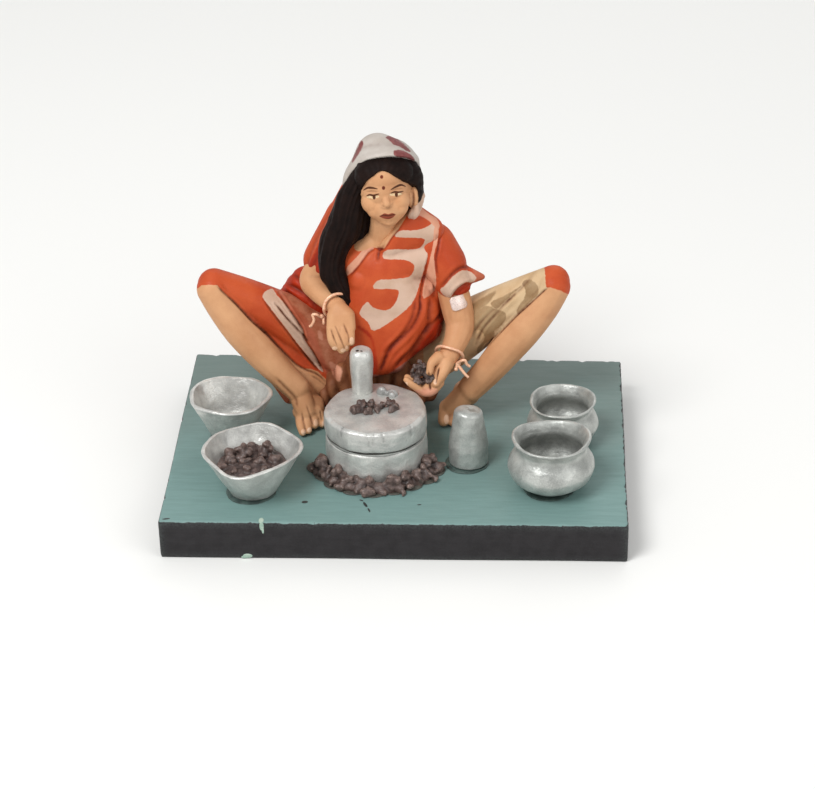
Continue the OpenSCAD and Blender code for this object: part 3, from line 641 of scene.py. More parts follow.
def makeBoard():
    size = boardHigh - boardLow
    bm = bmesh.new()
    bmesh.ops.create_cube(bm, size=1, matrix=Matrix.Translation((boardLow + boardHigh) / 2)
                          @ Matrix.Diagonal((*size, 1)))
    bmesh.ops.bevel(bm, geom=bm.edges[:], offset=board["edge"], segments=2, profile=0.5, affect="EDGES",
                    material=-1)
    clay = toClay(bm, "boardPanel", board["voxel"], 2)
    # a hand-planed block: soft hollows on its faces and small knocks along its edges
    rim = np.minimum(np.minimum(clay.co[:, 0] - boardLow.x, boardHigh.x - clay.co[:, 0]),
                     np.minimum(clay.co[:, 1] - boardLow.y, boardHigh.y - clay.co[:, 1]))
    corner = np.exp(-np.clip(np.abs(clay.co[:, 2] - boardTop) + np.clip(rim, 0, 99), 0, 20) / 1.2)
    knocks = np.clip(ripple(clay.co, 3.1) + ripple(clay.co, 1.3, 4) - 0.5, 0, 1)
    push(clay, 0.10 * ripple(clay.co, 22) - 0.1 - 0.8 * knocks * corner)
    look(clay)
    # sawn by hand, so its rear edge runs a little out of square
    x, y = clay.co[:, 0] / boardHigh.x, (clay.co[:, 1] - boardLow.y) / (boardHigh.y - boardLow.y)
    clay.co[:, 1] += y * (0.6 - 1.5 * x)
    look(clay)
    setLayer(clay, "topFace", (clay.no[:, 2] - 0.72) * 3)
    finish(clay, boardPaint(), ["base_board"], flat=False)


def blot(bm, x, y, z, size, turn=0.0, lean=0.0):
    matrix = Matrix.Rotation(math.radians(turn), 4, "Z") @ Matrix.Rotation(math.radians(lean), 4, "X")
    addBead(bm, (x, y, z), size, matrix, (18, 8))


def makeBoardMarks():
    # a pale drip and chips on the front edge, dark specks and a hair crack on the top
    front = boardLow.y
    pale = bmesh.new()
    for x, y, z, size, lean in [(-39.1, front + 1.3, boardTop, (0.8, 1.5, 0.12), 0),
                                (-38.9, front, boardTop - 1.2, (0.7, 1.6, 0.12), 90),
                                (-38.6, front, boardTop - 2.8, (0.35, 1.1, 0.1), 90),
                                (-43.6, front, 1.1, (1.5, 0.8, 0.14), 90),
                                (-44.7, front, 0.6, (0.9, 0.5, 0.12), 90)]:
        blot(pale, x, y, z, size, lean=lean)
    clay = toClay(pale, "paleChips", 0.1, 1)
    finish(clay, plainFinish("chippedPaint", (0.72, 0.78, 0.72), (0.55, 0.66, 0.60), 0.6), [],
           flat=False)
    dark = bmesh.new()
    for x, y, size, turn in [(-26.9, -37.5, (1.0, 0.7, 0.1), 10), (-8.6, -38.6, (0.45, 1.5, 0.08), 24),
                             (-7.3, -41.6, (0.3, 1.2, 0.08), 20), (-67.6, -47.3, (1.2, 0.4, 0.08), 12),
                             (7.6, -38.4, (0.7, 0.3, 0.08), 8), (-9.9, -36.3, (0.7, 0.3, 0.08), -30)]:
        blot(dark, x, y, boardTop, size, turn)
    clay = toClay(dark, "darkSpecks", 0.1, 1)
    finish(clay, plainFinish("bareSpeck", (0.24, 0.25, 0.24), (0.16, 0.17, 0.16), 0.6), [],
           flat=False)


def footPlace(node):
    low, high = boxMm(node)
    return (low.x + high.x) / 2, (low.y + high.y) / 2, (high.x - low.x) / 2, low, high


glue = {"thick": 0.32, "show": 1.15, "feet": {"bowl_rear": 0.47, "bowl_front": 0.48, "tumbler": 1.0,
                                              "pot_front": 0.56,
                                             "pot_rear": 0.56}}


def makeGlueFilms():
    # glue squeezed out round each foot, most of it to the front left
    bm = bmesh.new()
    for node, share in glue["feet"].items():
        x, y, r, _, _ = footPlace(node)
        foot = r * share + glue["show"]
        for turn, size in [(0, 1.0), (200, 0.84), (235, 0.9), (270, 0.86), (320, 0.8), (150, 0.75)]:
            a = math.radians(turn)
            reach = 0 if turn == 0 else foot * 0.22
            blot(bm, x + reach * math.cos(a) - 0.3, y + reach * math.sin(a) - 0.2, boardTop + 0.05,
                 (foot * size, foot * size, glue["thick"] / size))
    clay = toClay(bm, "glueFilms", 0.3, 3)
    finish(clay, plainFinish("glueStain", (0.30, 0.37, 0.35), (0.20, 0.25, 0.24), 0.35, thumbing=0.2),
           ["glue_beds"])
    bm = bmesh.new()
    for turn, reach, size in [(196, 17.5, 5.4), (212, 17, 5.2), (230, 17.5, 5.0), (250, 17.8, 4.6),
                              (270, 17.6, 5.2), (290, 17.2, 5.0), (308, 17.6, 4.8), (326, 18, 5.2),
                              (341, 18.4, 4.8)]:
        a = math.radians(turn)
        blot(bm, quernAt.x + reach * math.cos(a), quernAt.y + reach * math.sin(a), boardTop + 0.05,
             (size, size * 0.9, 0.3))
    clay = toClay(bm, "spillFilm", 0.3, 3)
    push(clay, 0.15 * ripple(clay.co, 2.0))
    finish(clay, plainFinish("spillStain", (0.36, 0.36, 0.33), (0.26, 0.24, 0.22), 0.42, thumbing=0.2),
           ["heap_glue_bed"])


def turned(name, profile, x, y, steps=160, perSpan=8):
    # a smooth profile (radius, height) spun round an upright axis into one closed shell
    bm = bmesh.new()
    rows = smoothRun(profile, perSpan)
    verts = [bm.verts.new((x + max(r, 0.0), y, z)) for r, z in rows]
    edges = [bm.edges.new(pair) for pair in zip(verts[:-1], verts[1:])]
    bmesh.ops.spin(bm, geom=verts + edges, cent=(x, y, 0), axis=(0, 0, 1), angle=math.tau, steps=steps,
                   use_merge=True)
    bmesh.ops.remove_doubles(bm, verts=bm.verts, dist=0.004)
    bmesh.ops.recalc_face_normals(bm, faces=bm.faces)
    return openMesh(linked(name, meshFrom(bm, name)))


def unround(clay, x, y, waves, dents=0.12, pitch=5.0, rise=None):
    # hand-made unevenness: waves round the rim (count, size, turn), soft dents all over, a tilted or wavy top
    out = clay.co[:, :2] - np.array([x, y])
    angle = np.arctan2(out[:, 1], out[:, 0])
    low, high = clay.co[:, 2].min(), clay.co[:, 2].max()
    up = (clay.co[:, 2] - low) / (high - low)
    stretch = 1 + sum(size * np.cos(count * angle - math.radians(turn)) for count, size, turn in waves) * up
    clay.co[:, :2] = np.array([x, y]) + out * stretch[:, None]
    if rise:
        for count, size, turn in rise:
            clay.co[:, 2] += size * np.cos(count * angle - math.radians(turn)) * up ** 2
    push(clay, dents * ripple(clay.co, pitch, x) + 0.4 * dents * ripple(clay.co, pitch / 3, y))
    look(clay)
    return angle, up


silver = silverPaint("silverPaint")
# a darker copy of the same silver for the pots and the tumbler: painted shade
shadedSilver = silverPaint("shadedSilverPaint", (0.73, 0.74, 0.72), (0.58, 0.59, 0.575))

bowls = {
    "rearBowl": {"node": "bowl_rear", "foot": 0.47, "tall": 1.13,
                 "waves": [(2, 0.03, 20), (3, 0.02, 80), (5, 0.014, 10), (7, 0.012, 50)],
                 "rise": [(1, 0.25, 260), (3, 0.3, 30)]},
    "frontBowl": {"node": "bowl_front", "foot": 0.49, "tall": 1.0,
                  "waves": [(2, 0.02, 100), (3, 0.035, 60), (4, 0.028, 20), (6, 0.018, 75)],
                  "rise": [(1, 0.2, 100), (3, 0.45, 200), (5, 0.2, 40)]},
}


def makeBowl(name):
    bowl = bowls[name]
    x, y, rim, low, high = footPlace(bowl["node"])
    foot = rim * bowl["foot"]
    z, h = low.z, (high.z - low.z) * bowl["tall"]
    wall = 1.15
    profile = [(0, z + 0.02), (foot * 0.5, z + 0.02), (foot - 0.7, z + 0.05), (foot - 0.1, z + 0.5),
               (foot + 0.35, z + 1.2),
               (foot + (rim - foot) * 0.35, z + h * 0.36), (foot + (rim - foot) * 0.68, z + h * 0.68),
               (rim - 0.5, z + h - 1.1), (rim - 0.15, z + h - 0.45), (rim - 0.5, z + h - 0.02),
               (rim - wall, z + h - 0.1),
               (rim - wall - 0.4, z + h - 0.7), (foot + (rim - foot) * 0.62 - wall, z + h * 0.68),
               (foot + (rim - foot) * 0.3 - wall, z + h * 0.38), (foot - 1.6, z + 3.4),
               (foot - 3.2, z + 2.75), (0, z + 2.6)]
    clay = turned(name, profile, x, y)
    unround(clay, x, y, bowl["waves"], 0.16, 4.5, bowl["rise"])
    if name == "rearBowl":
        # a scratch down to the crumb stuck on the floor
        line = np.array([(x - 5.6, y + 5.4, z + h * 0.72), (x - 3.2, y + 2.4, z + h * 0.42),
                         (x - 0.9, y + 0.2, z + 3.0)])
        gap, _ = lineDistance(clay.co, line)
        push(clay, -0.18 * np.exp(-(gap / 0.35) ** 2))
        clay.crease += 0.9 * np.exp(-(gap / 0.32) ** 2)
    finish(clay, silver, [bowl["node"]], hollowGain=7)


def makeCrumb():
    low, high = boxMm("bowl_rear_crumb")
    mid = (low + high) / 2
    bm = bmesh.new()
    addBead(bm, (mid.x, mid.y, low.z + 0.45), (1.05, 0.8, 0.75))
    addBead(bm, (mid.x + 0.5, mid.y + 0.3, low.z + 0.4), (0.6, 0.5, 0.5))
    clay = toClay(bm, "bowlCrumb", 0.12, 2)
    finish(clay, silverPaint("crumbPaint", (0.85, 0.84, 0.82), (0.7, 0.7, 0.68)), ["bowl_rear_crumb"])


turnedPots = {
    "frontPot": {"node": "pot_front", "waves": [(2, 0.02, 30), (3, 0.015, 100), (5, 0.012, 60)],
                 "rise": [(1, 0.35, 250), (2, 0.35, 20), (3, 0.2, 120)]},
    "rearPot": {"node": "pot_rear", "waves": [(2, 0.015, 80), (3, 0.02, 20)],
                "rise": [(1, 0.2, 90), (3, 0.2, 60)]},
}


def makePot(name):
    pot = turnedPots[name]
    x, y, r, low, high = footPlace(pot["node"])
    z, h = low.z, high.z - low.z
    wall = 1.1
    profile = [(0, z + 0.02), (r * 0.36, z + 0.02), (r * 0.52, z + 0.2), (r * 0.66, z + h * 0.09),
               (r * 0.87, z + h * 0.22),
               (r * 0.985, z + h * 0.38), (r * 0.985, z + h * 0.5), (r * 0.90, z + h * 0.64),
               (r * 0.81, z + h * 0.74),
               (r * 0.79, z + h * 0.82), (r * 0.84, z + h * 0.91), (r * 0.90, z + h * 0.97),
               (r * 0.885, z + h),
               (r * 0.84, z + h * 0.995), (r * 0.79, z + h * 0.94), (r * 0.83 - wall, z + h * 0.86),
               (r * 0.81 - wall, z + h * 0.76),
               (r * 0.94 - wall, z + h * 0.56), (r * 0.97 - wall, z + h * 0.42),
               (r * 0.86 - wall, z + h * 0.25),
               (r * 0.55, z + wall * 1.15), (0, z + wall)]
    clay = turned(name, profile, x, y)
    unround(clay, x, y, pot["waves"], 0.18, 5.5, pot["rise"])
    finish(clay, shadedSilver, [pot["node"]], hollowGain=6)


def makeTumbler():
    x, y, r, low, high = footPlace("tumbler")
    z, h = low.z, high.z - low.z
    profile = [(0, z + 0.02), (r * 0.8, z + 0.02), (r * 0.96, z + 0.3), (r * 0.99, z + 1.2),
               (r * 0.985, z + h * 0.3),
               (r * 0.90, z + h * 0.52), (r * 0.80, z + h * 0.74), (r * 0.72, z + h * 0.88),
               (r * 0.64, z + h * 0.955),
               (r * 0.46, z + h * 0.995), (r * 0.25, z + h), (0, z + h)]
    clay = turned("tumblerCup", profile, x, y)
    unround(clay, x, y, [(2, 0.04, 40), (3, 0.025, 120)], 0.16, 4.0, [(1, 0.35, 200)])
    finish(clay, shadedSilver, ["tumbler"], hollowGain=6)


def makeQuern():
    x, y, r = quernAt.x, quernAt.y, quernRadius
    for name, node, body, flare in [("lowerStone", "quern_lower_stone", "tableau", 0.0),
                                    ("runnerStone", "quern_runner_stone", "runner", 1.0)]:
        low, high = boxMm(node)
        z = low.z + (0.02 if body == "tableau" else 0.0)
        top = high.z if flare else high.z - 0.35
        edge = 1.5 if flare else 0.8
        profile = [(0, z), (r * 0.6, z), (r - 1.3, z + 0.02), (r - 0.45, z + 0.3), (r - 0.12, z + 1.0),
                   (r - 0.06, z + (top - z) * 0.5),
                   (r - 0.15, top - edge - 0.4), (r - 0.45, top - edge * 0.5),
                   (r - edge * 0.95, top - 0.1), (r - edge * 1.6, top),
                   (r * 0.5, top), (0, top)]
        clay = turned(name, profile, x, y, steps=240, perSpan=12)
        out = np.hypot(clay.co[:, 0] - x, clay.co[:, 1] - y)
        angle = np.arctan2(clay.co[:, 1] - y, clay.co[:, 0] - x)
        side = ease(out, r * 0.7, r * 0.95)
        # thumb marks, kept inside the drawn radius so that the runner turns clear
        marks = 0.16 * ripple(clay.co, 5.0, 3 * flare) + 0.1 * np.cos(7 * angle + 2
                                                                      * flare) + 0.07 * ripple(clay.co, 1.6)
        push(clay, side * (marks - 0.26) + (1 - side) * (0.07 * ripple(clay.co, 6.0) - 0.05)
             * (clay.no[:, 2] > 0.5))
        look(clay)
        if flare:
            # cracks running down from the worn top edge, and one across it
            for turn, long, bend in [(263, 3.6, 1.0), (272, 2.6, -0.8), (281, 1.6, 0.5), (231, 1.6, 0.4),
                                     (318, 2.2, -0.6)]:
                a = math.radians(turn)
                line = np.array([(x + (r - 1.6) * math.cos(a), y + (r - 1.6) * math.sin(a), top),
                                 (x + (r - 0.3) * math.cos(a + 0.01 * bend),
                                  y + (r - 0.3) * math.sin(a + 0.01 * bend), top - 1.2),
                                 (x + (r - 0.3) * math.cos(a + 0.05 * bend),
                                  y + (r - 0.3) * math.sin(a + 0.05 * bend), top - 1.2 - long * 0.5),
                                 (x + (r - 0.3) * math.cos(a + 0.03 * bend),
                                  y + (r - 0.3) * math.sin(a + 0.03 * bend), top - 1.2 - long)])
                gap, _ = lineDistance(clay.co, line)
                push(clay, -0.14 * np.exp(-(gap / 0.3) ** 2))
                clay.crease += 0.55 * np.exp(-(gap / 0.24) ** 2)
        # painted shade where the two stones meet
        seam = low.z if flare else high.z
        clay.crease += 0.8 * np.exp(-np.abs(clay.co[:, 2] - seam) / 0.35) * side
        if not flare:
            # and painted shade on the lower stone, darker towards the board
            clay.crease += 0.35 * np.exp(-(clay.co[:, 2] - boardTop) / 1.6)
        finish(clay, silver, [node], body, hollowGain=6, flat=False)


def makeHandle():
    low, high = boxMm("quern_handle")
    x, y, r = (low.x + high.x) / 2, (low.y + high.y) / 2, (high.x - low.x) / 2
    z = boxMm("quern_runner_stone")[1].z - 0.2
    h = high.z - z
    r *= 1.08
    profile = [(0, z), (r * 0.72, z), (r * 0.86, z + 0.5), (r * 0.88, z + 2), (r * 0.93, z + h * 0.45),
               (r * 0.98, z + h * 0.75),
               (r * 0.94, z + h * 0.88), (r * 0.78, z + h * 0.955), (r * 0.5, z + h * 0.995),
               (r * 0.2, z + h), (0, z + h)]
    clay = turned("pegHandle", profile, x, y, steps=96)
    unround(clay, x, y, [(2, 0.03, 60), (3, 0.02, 10)], 0.12, 3.4)
    # dark chips on the rounded head
    chips = [((x - 0.9, y - 1.2, z + h - 0.2), 0.55), ((x + 0.3, y - 1.4, z + h - 0.3), 0.45),
             ((x + 1.7, y - 1.9, z + h - 1.6), 0.6),
             ((x + 1.8, y - 1.8, z + h - 2.6), 0.5), ((x - 2.1, y - 1.0, z + h - 1.1), 0.45)]
    chip = np.full(len(clay.co), unpainted)
    for centre, size in chips:
        chip = np.maximum(chip, size - np.linalg.norm((clay.co - np.array(centre)) * (1, 1, 0.7), axis=1))
    push(clay, -0.15 * ease(chip, -0.2, 0.2))
    look(clay)
    setLayer(clay, "chip", chip)
    finish(clay, silverPaint("pegPaint", shine=0.33, layers=[("chip", (0.22, 0.18, 0.17), 0.5, 0.1)]),
           ["quern_handle"],
           "runner", hollowGain=6, flat=False)
    low, high = boxMm("runner_boss")
    mid = (low + high) / 2
    bm = bmesh.new()
    turn = Matrix.Rotation(math.radians(-22), 4, "Z")
    for dx, dy, sx, sy, sz in [(-1.9, -0.1, 1.7, 1.5, 2.1), (-2.1, 0.3, 1.4, 1.2, 2.0),
                               (1.5, 0.4, 1.9, 1.6, 1.7), (0.2, 0.0, 1.3, 1.1, 1.1),
                               (1.9, -0.8, 1.2, 1.0, 1.4)]:
        at = turn @ Vector((dx, dy, 0))
        addBead(bm, (mid.x + at.x, mid.y + at.y, low.z + 0.1), (sx, sy, sz), turn)
    clay = toClay(bm, "clayPads", 0.2, 3)
    push(clay, 0.12 * ripple(clay.co, 1.6))
    clay.co[:, 2] = np.maximum(clay.co[:, 2], low.z - 0.05)
    # the pads take a darker copy of the silver: painted shade
    finish(clay, silverPaint("padPaint", (0.70, 0.70, 0.69), (0.54, 0.54, 0.53), 0.48), ["runner_boss"],
           "runner", hollowGain=6, flat=False)


# crumbs are rolled to this radius, give or take the spread
grain = {"size": 2.15, "spread": 0.35}


def addCrumb(bm, centre, size, seed):
    # one crumb: a few beads pressed together, turned by its own number
    turn = Matrix.Rotation(seed * 1.7, 4, "Z") @ Matrix.Rotation(seed * 2.3, 4, "X")
    for k, (dx, dy, dz, s) in enumerate([(0, 0, 0, 0.84), (0.5, 0.14, 0.1, 0.6),
                                         (-0.45, 0.34, -0.05, 0.56), (0.05, -0.5, 0.25, 0.46)]):
        at = turn @ Vector((dx, dy, dz)) * size
        wide = 0.95 + 0.3 * math.sin(seed * 3.1 + k)
        addBead(bm, Vector(centre) + at, (size * s * wide, size * s * (0.85 + 0.15 * math.sin(seed)),
                                          size * s * (1.8 - wide)), turn, (8, 5))


def pile(bm, x, y, z, reach, rise, count, size, seed):
    # crumbs spread by the sunflower rule, highest in the middle
    for i in range(count):
        out = reach * math.sqrt((i + 0.5) / count)
        a = math.radians(137.5 * i + seed)
        addCrumb(bm, (x + out * math.cos(a), y + out * math.sin(a), z + rise * (1 - out / reach)),
                 size * (1 + grain["spread"] * math.sin(seed + 2.4 * i)), seed + i)


# brown crumbs, with painted shade in their creases and painted grey highlights on their edges
grainPaint = plainFinish("grainPaint", (0.37, 0.30, 0.28), (0.22, 0.165, 0.15), 0.42, patch=0.5,
                         thumbing=0.3, brush=0.15,
                         shadeAndHighlight=((0.10, 0.06, 0.05), (0.62, 0.53, 0.49)))


def finishGrain(bm, name, node, body="tableau", floor=None, voxel=0.28):
    clay = toClay(bm, name, voxel, 2)
    push(clay, 0.22 * ripple(clay.co, 1.3) + 0.08 * ripple(clay.co, 0.6, 2))
    if floor is not None:
        clay.co[:, 2] = np.maximum(clay.co[:, 2], floor)
    finish(clay, grainPaint, [node], body, hollowGain=5, flat=False)


def makeGrain():
    size = grain["size"]
    bm = bmesh.new()
    for i in range(16):
        a = math.radians(199 + i * 145 / 15 + 3 * math.sin(5 * i))
        ends = abs(i - 7.5) / 7.5
        for row in range(3):
            reach = quernRadius + (1.5, 3.7, 5.2)[row] + 0.9 * math.sin(1.7 * i + 2 * row)
            lift = (2.4 + 1.5 * ends, 1.2, 0.5)[row] + 0.5 * math.sin(2.9 * i + row)
            if row == 2 and i % 3 != 1:
                continue
            addCrumb(bm, (quernAt.x + reach * math.cos(a), quernAt.y + reach * math.sin(a),
                          boardTop + lift),
                     size * (0.98 - 0.2 * row) * (1 + 0.34 * math.sin(2.3 * i + 4 * row)),
                     100 + 3 * i + row)
    for i in range(16):
        a = math.radians(200 + i * 142 / 15)
        addBead(bm, (quernAt.x + (quernRadius + 1.6) * math.cos(a),
                     quernAt.y + (quernRadius + 1.6) * math.sin(a), boardTop + 0.6), (2.6, 2.4, 2.2))
    finishGrain(bm, "spiltGrain", "grain_heap", floor=boardTop + 0.1, voxel=0.34)

    runnerTop = boxMm("quern_runner_stone")[1].z
    bm = bmesh.new()
    pile(bm, quernAt.x - 2.6, quernAt.y - 1.2, runnerTop + 0.7, 3.7, 0.7, 6, size * 0.84, 11)
    pile(bm, quernAt.x + 4.0, quernAt.y + 0.2, runnerTop + 0.7, 3.0, 0.6, 4, size * 0.78, 41)
    addCrumb(bm, (quernAt.x + 1.0, quernAt.y - 0.6, runnerTop + 0.6), size * 0.8, 61)
    finishGrain(bm, "runnerGrain", "grain_on_runner", "runner", floor=runnerTop - 0.1, voxel=0.24)

    x, y, rim, _, high = footPlace("bowl_front")
    bm = bmesh.new()
    fill = high.z - 4.6
    pile(bm, x - 0.3, y - 0.6, fill, rim - 5.4, 1.2, 15, size * 1.05, 211)
    addCrumb(bm, (x + 4.1, y + 3.2, fill + 3.0), size * 1.15, 251)
    addCrumb(bm, (x + 3.9, y + 2.4, fill + 1.4), size * 1.1, 253)
    addCrumb(bm, (x - 2.6, y + 2.6, fill + 2.0), size * 1.35, 255)
    addBead(bm, (x, y, fill - 1.2), (rim - 4.2, rim - 4.2, 1.8), fine=(32, 12))
    finishGrain(bm, "bowlGrain", "grain_in_bowl", voxel=0.3)


print("making board, quern, vessels and grain")
makeBoard()
makeBoardMarks()
makeGlueFilms()
makeQuern()
makeHandle()
for name in bowls:
    makeBowl(name)
makeCrumb()
for name in turnedPots:
    makePot(name)
makeTumbler()
makeGrain()


def spot(clay, s, t, wide, high):
    # signed distance to a small oval on the stencil sheet
    value = (1 - np.hypot((clay.s - s) / wide, (clay.t - t) / high)) * min(wide, high)
    return np.where(clay.facing > 0, value, unpainted)


def strokes(clay, lines, width, taper=0.45):
    # painted lines: thick in the middle, thin at the ends
    best = np.full(len(clay.co), unpainted)
    for line in lines:
        gap, along = lineDistance(clay.st, smoothRun(line, 5))
        thick = width * (taper + (1 - taper) * np.sin(np.pi * np.clip(along, 0, 1)))
        best = np.maximum(best, thick - gap)
    return np.where(clay.facing > 0, best, unpainted)


def layOn(clay, name, loop, smooth=4):
    # a paint layer straight from an outline
    setLayer(clay, name, onFront(clay, loop, smooth))


def limbSide(clay, inner, outer):
    # above 0 where a point is nearer to the first limb's axis than to the second's
    a, _ = lineDistance(clay.co, place(inner)[:, :3])
    b, _ = lineDistance(clay.co, place(outer)[:, :3])
    return b - a


def frontOr(clay, front, other, low=0.02, high=0.2):
    # the stencil's value where it faces the viewing side, another value elsewhere
    f = ease(clay.facing, low, high)
    return f * front + (1 - f) * other


skinLayers = [("nail", "nail", 0.15, 0.12)]

legs = {
    "right": {
        "thigh": [(-8, 0, 12, 10), (-20, -3, 21.5, 9.3), (-32, -6, 31, 7.9), (-42, -8.8, 38.8, 6.4),
                  (-51.6, -11, 45, 5.2)],
        "shin": [(-51.8, -12.4, 44.2, 5.2), (-48.4, -13.7, 38.2, 5.3), (-43.6, -15, 31, 5.4),
                 (-37.6, -16, 23.6, 5.1), (-31.6, -16.9, 16.8, 4.5), (-26.7, -17.5, 11.5, 4.2)],
        "foot": [[(-26.5, -17.2, 11.5, 3.5), (-24.6, -12.5, 6.6, 4.1), (-23.2, -9.4, 4.5, 4.2)],
                 [(-26.4, -17.6, 11.2, 3.4), (-24.9, -19.2, 7.6, 3.5), (-23.6, -20.6, 4.8, 3.3)],
                 [(-25.8, -19.5, 4.2, 2.5), (-23.2, -20, 4.6, 2.9), (-20.9, -19.4, 4.2, 2.5)]],
        "toes": [[(-25.7, -20.5, 3.4, 1.7), (-25.4, -24.4, 2.6, 1.45), (-24.5, -27.6, 1.5, 1.15)],
                 [(-23.7, -20.5, 3.7, 1.75), (-23.4, -24.2, 2.9, 1.5), (-22.7, -26.6, 1.7, 1.2)],
                 [(-21.5, -19.5, 4.0, 1.9), (-21.4, -22, 3.3, 1.7), (-21, -23.9, 2.2, 1.4)],
                 [(-19.7, -18.4, 3.4, 1.6), (-19.2, -21, 2.6, 1.35), (-18.8, -22.8, 1.7, 1.1)]],
    },
    "left": {
        "thigh": [(9, 0, 12, 10), (21, -3, 21.5, 9.3), (32, -6, 31, 7.9), (43.5, -8.6, 39.5, 6.5),
                  (53.5, -10.5, 46.5, 5.1)],
        "shin": [(53.6, -12.2, 45.6, 5.2), (50.2, -13, 39.4, 5.4), (44.6, -14.5, 32, 5.6),
                 (38.8, -15.2, 24.6, 5.3), (33.2, -15.9, 17.4, 4.7), (28, -16.5, 11.5, 4.2)],
        "foot": [[(27.5, -16.2, 11.5, 3.5), (26.8, -11, 6.6, 4.1), (26, -7.4, 4.5, 4.2)],
                 [(27.3, -16.4, 11.2, 3.4), (24.6, -16.6, 7.8, 3.6), (21.8, -17.2, 5, 3.4)],
                 [(20.6, -16.4, 4.4, 2.8), (22.6, -16.6, 4.4, 2.9), (25.2, -16, 3.8, 2.5)]],
        "toes": [[(20.4, -16, 4.3, 2.5), (19.7, -19, 3.3, 2.1), (19.4, -21.2, 2.3, 1.8)],
                 [(22.7, -16.4, 3.8, 1.9), (22.5, -19.6, 2.8, 1.5), (22.2, -21.5, 1.8, 1.2)],
                 [(24.6, -16, 3.4, 1.7), (24.7, -19, 2.4, 1.35), (24.5, -20.6, 1.6, 1.1)],
                 [(26.4, -15.4, 3.0, 1.5), (26.7, -18, 2.1, 1.25), (26.6, -19.3, 1.4, 1.0)]],
    },
}


def legBeads(leg):
    bm = bmesh.new()
    addChain(bm, leg["thigh"], step=0.2)
    addChain(bm, leg["shin"], step=0.25)
    for run in leg["foot"] + leg["toes"]:
        addChain(bm, run)
    return bm


# painted highlights: pale patches that lie over the skirt and the lap alike
paleHighlightPatches = [[(-28.2, 20.2), (-26.9, 19.2), (-26.7, 17.1), (-27.9, 17.8)],
               [(-24.7, 10.3), (-22.8, 9.6), (-20.7, 7.9), (-21.4, 4.1), (-23.1, 5.5), (-24.1, 7.9)]]


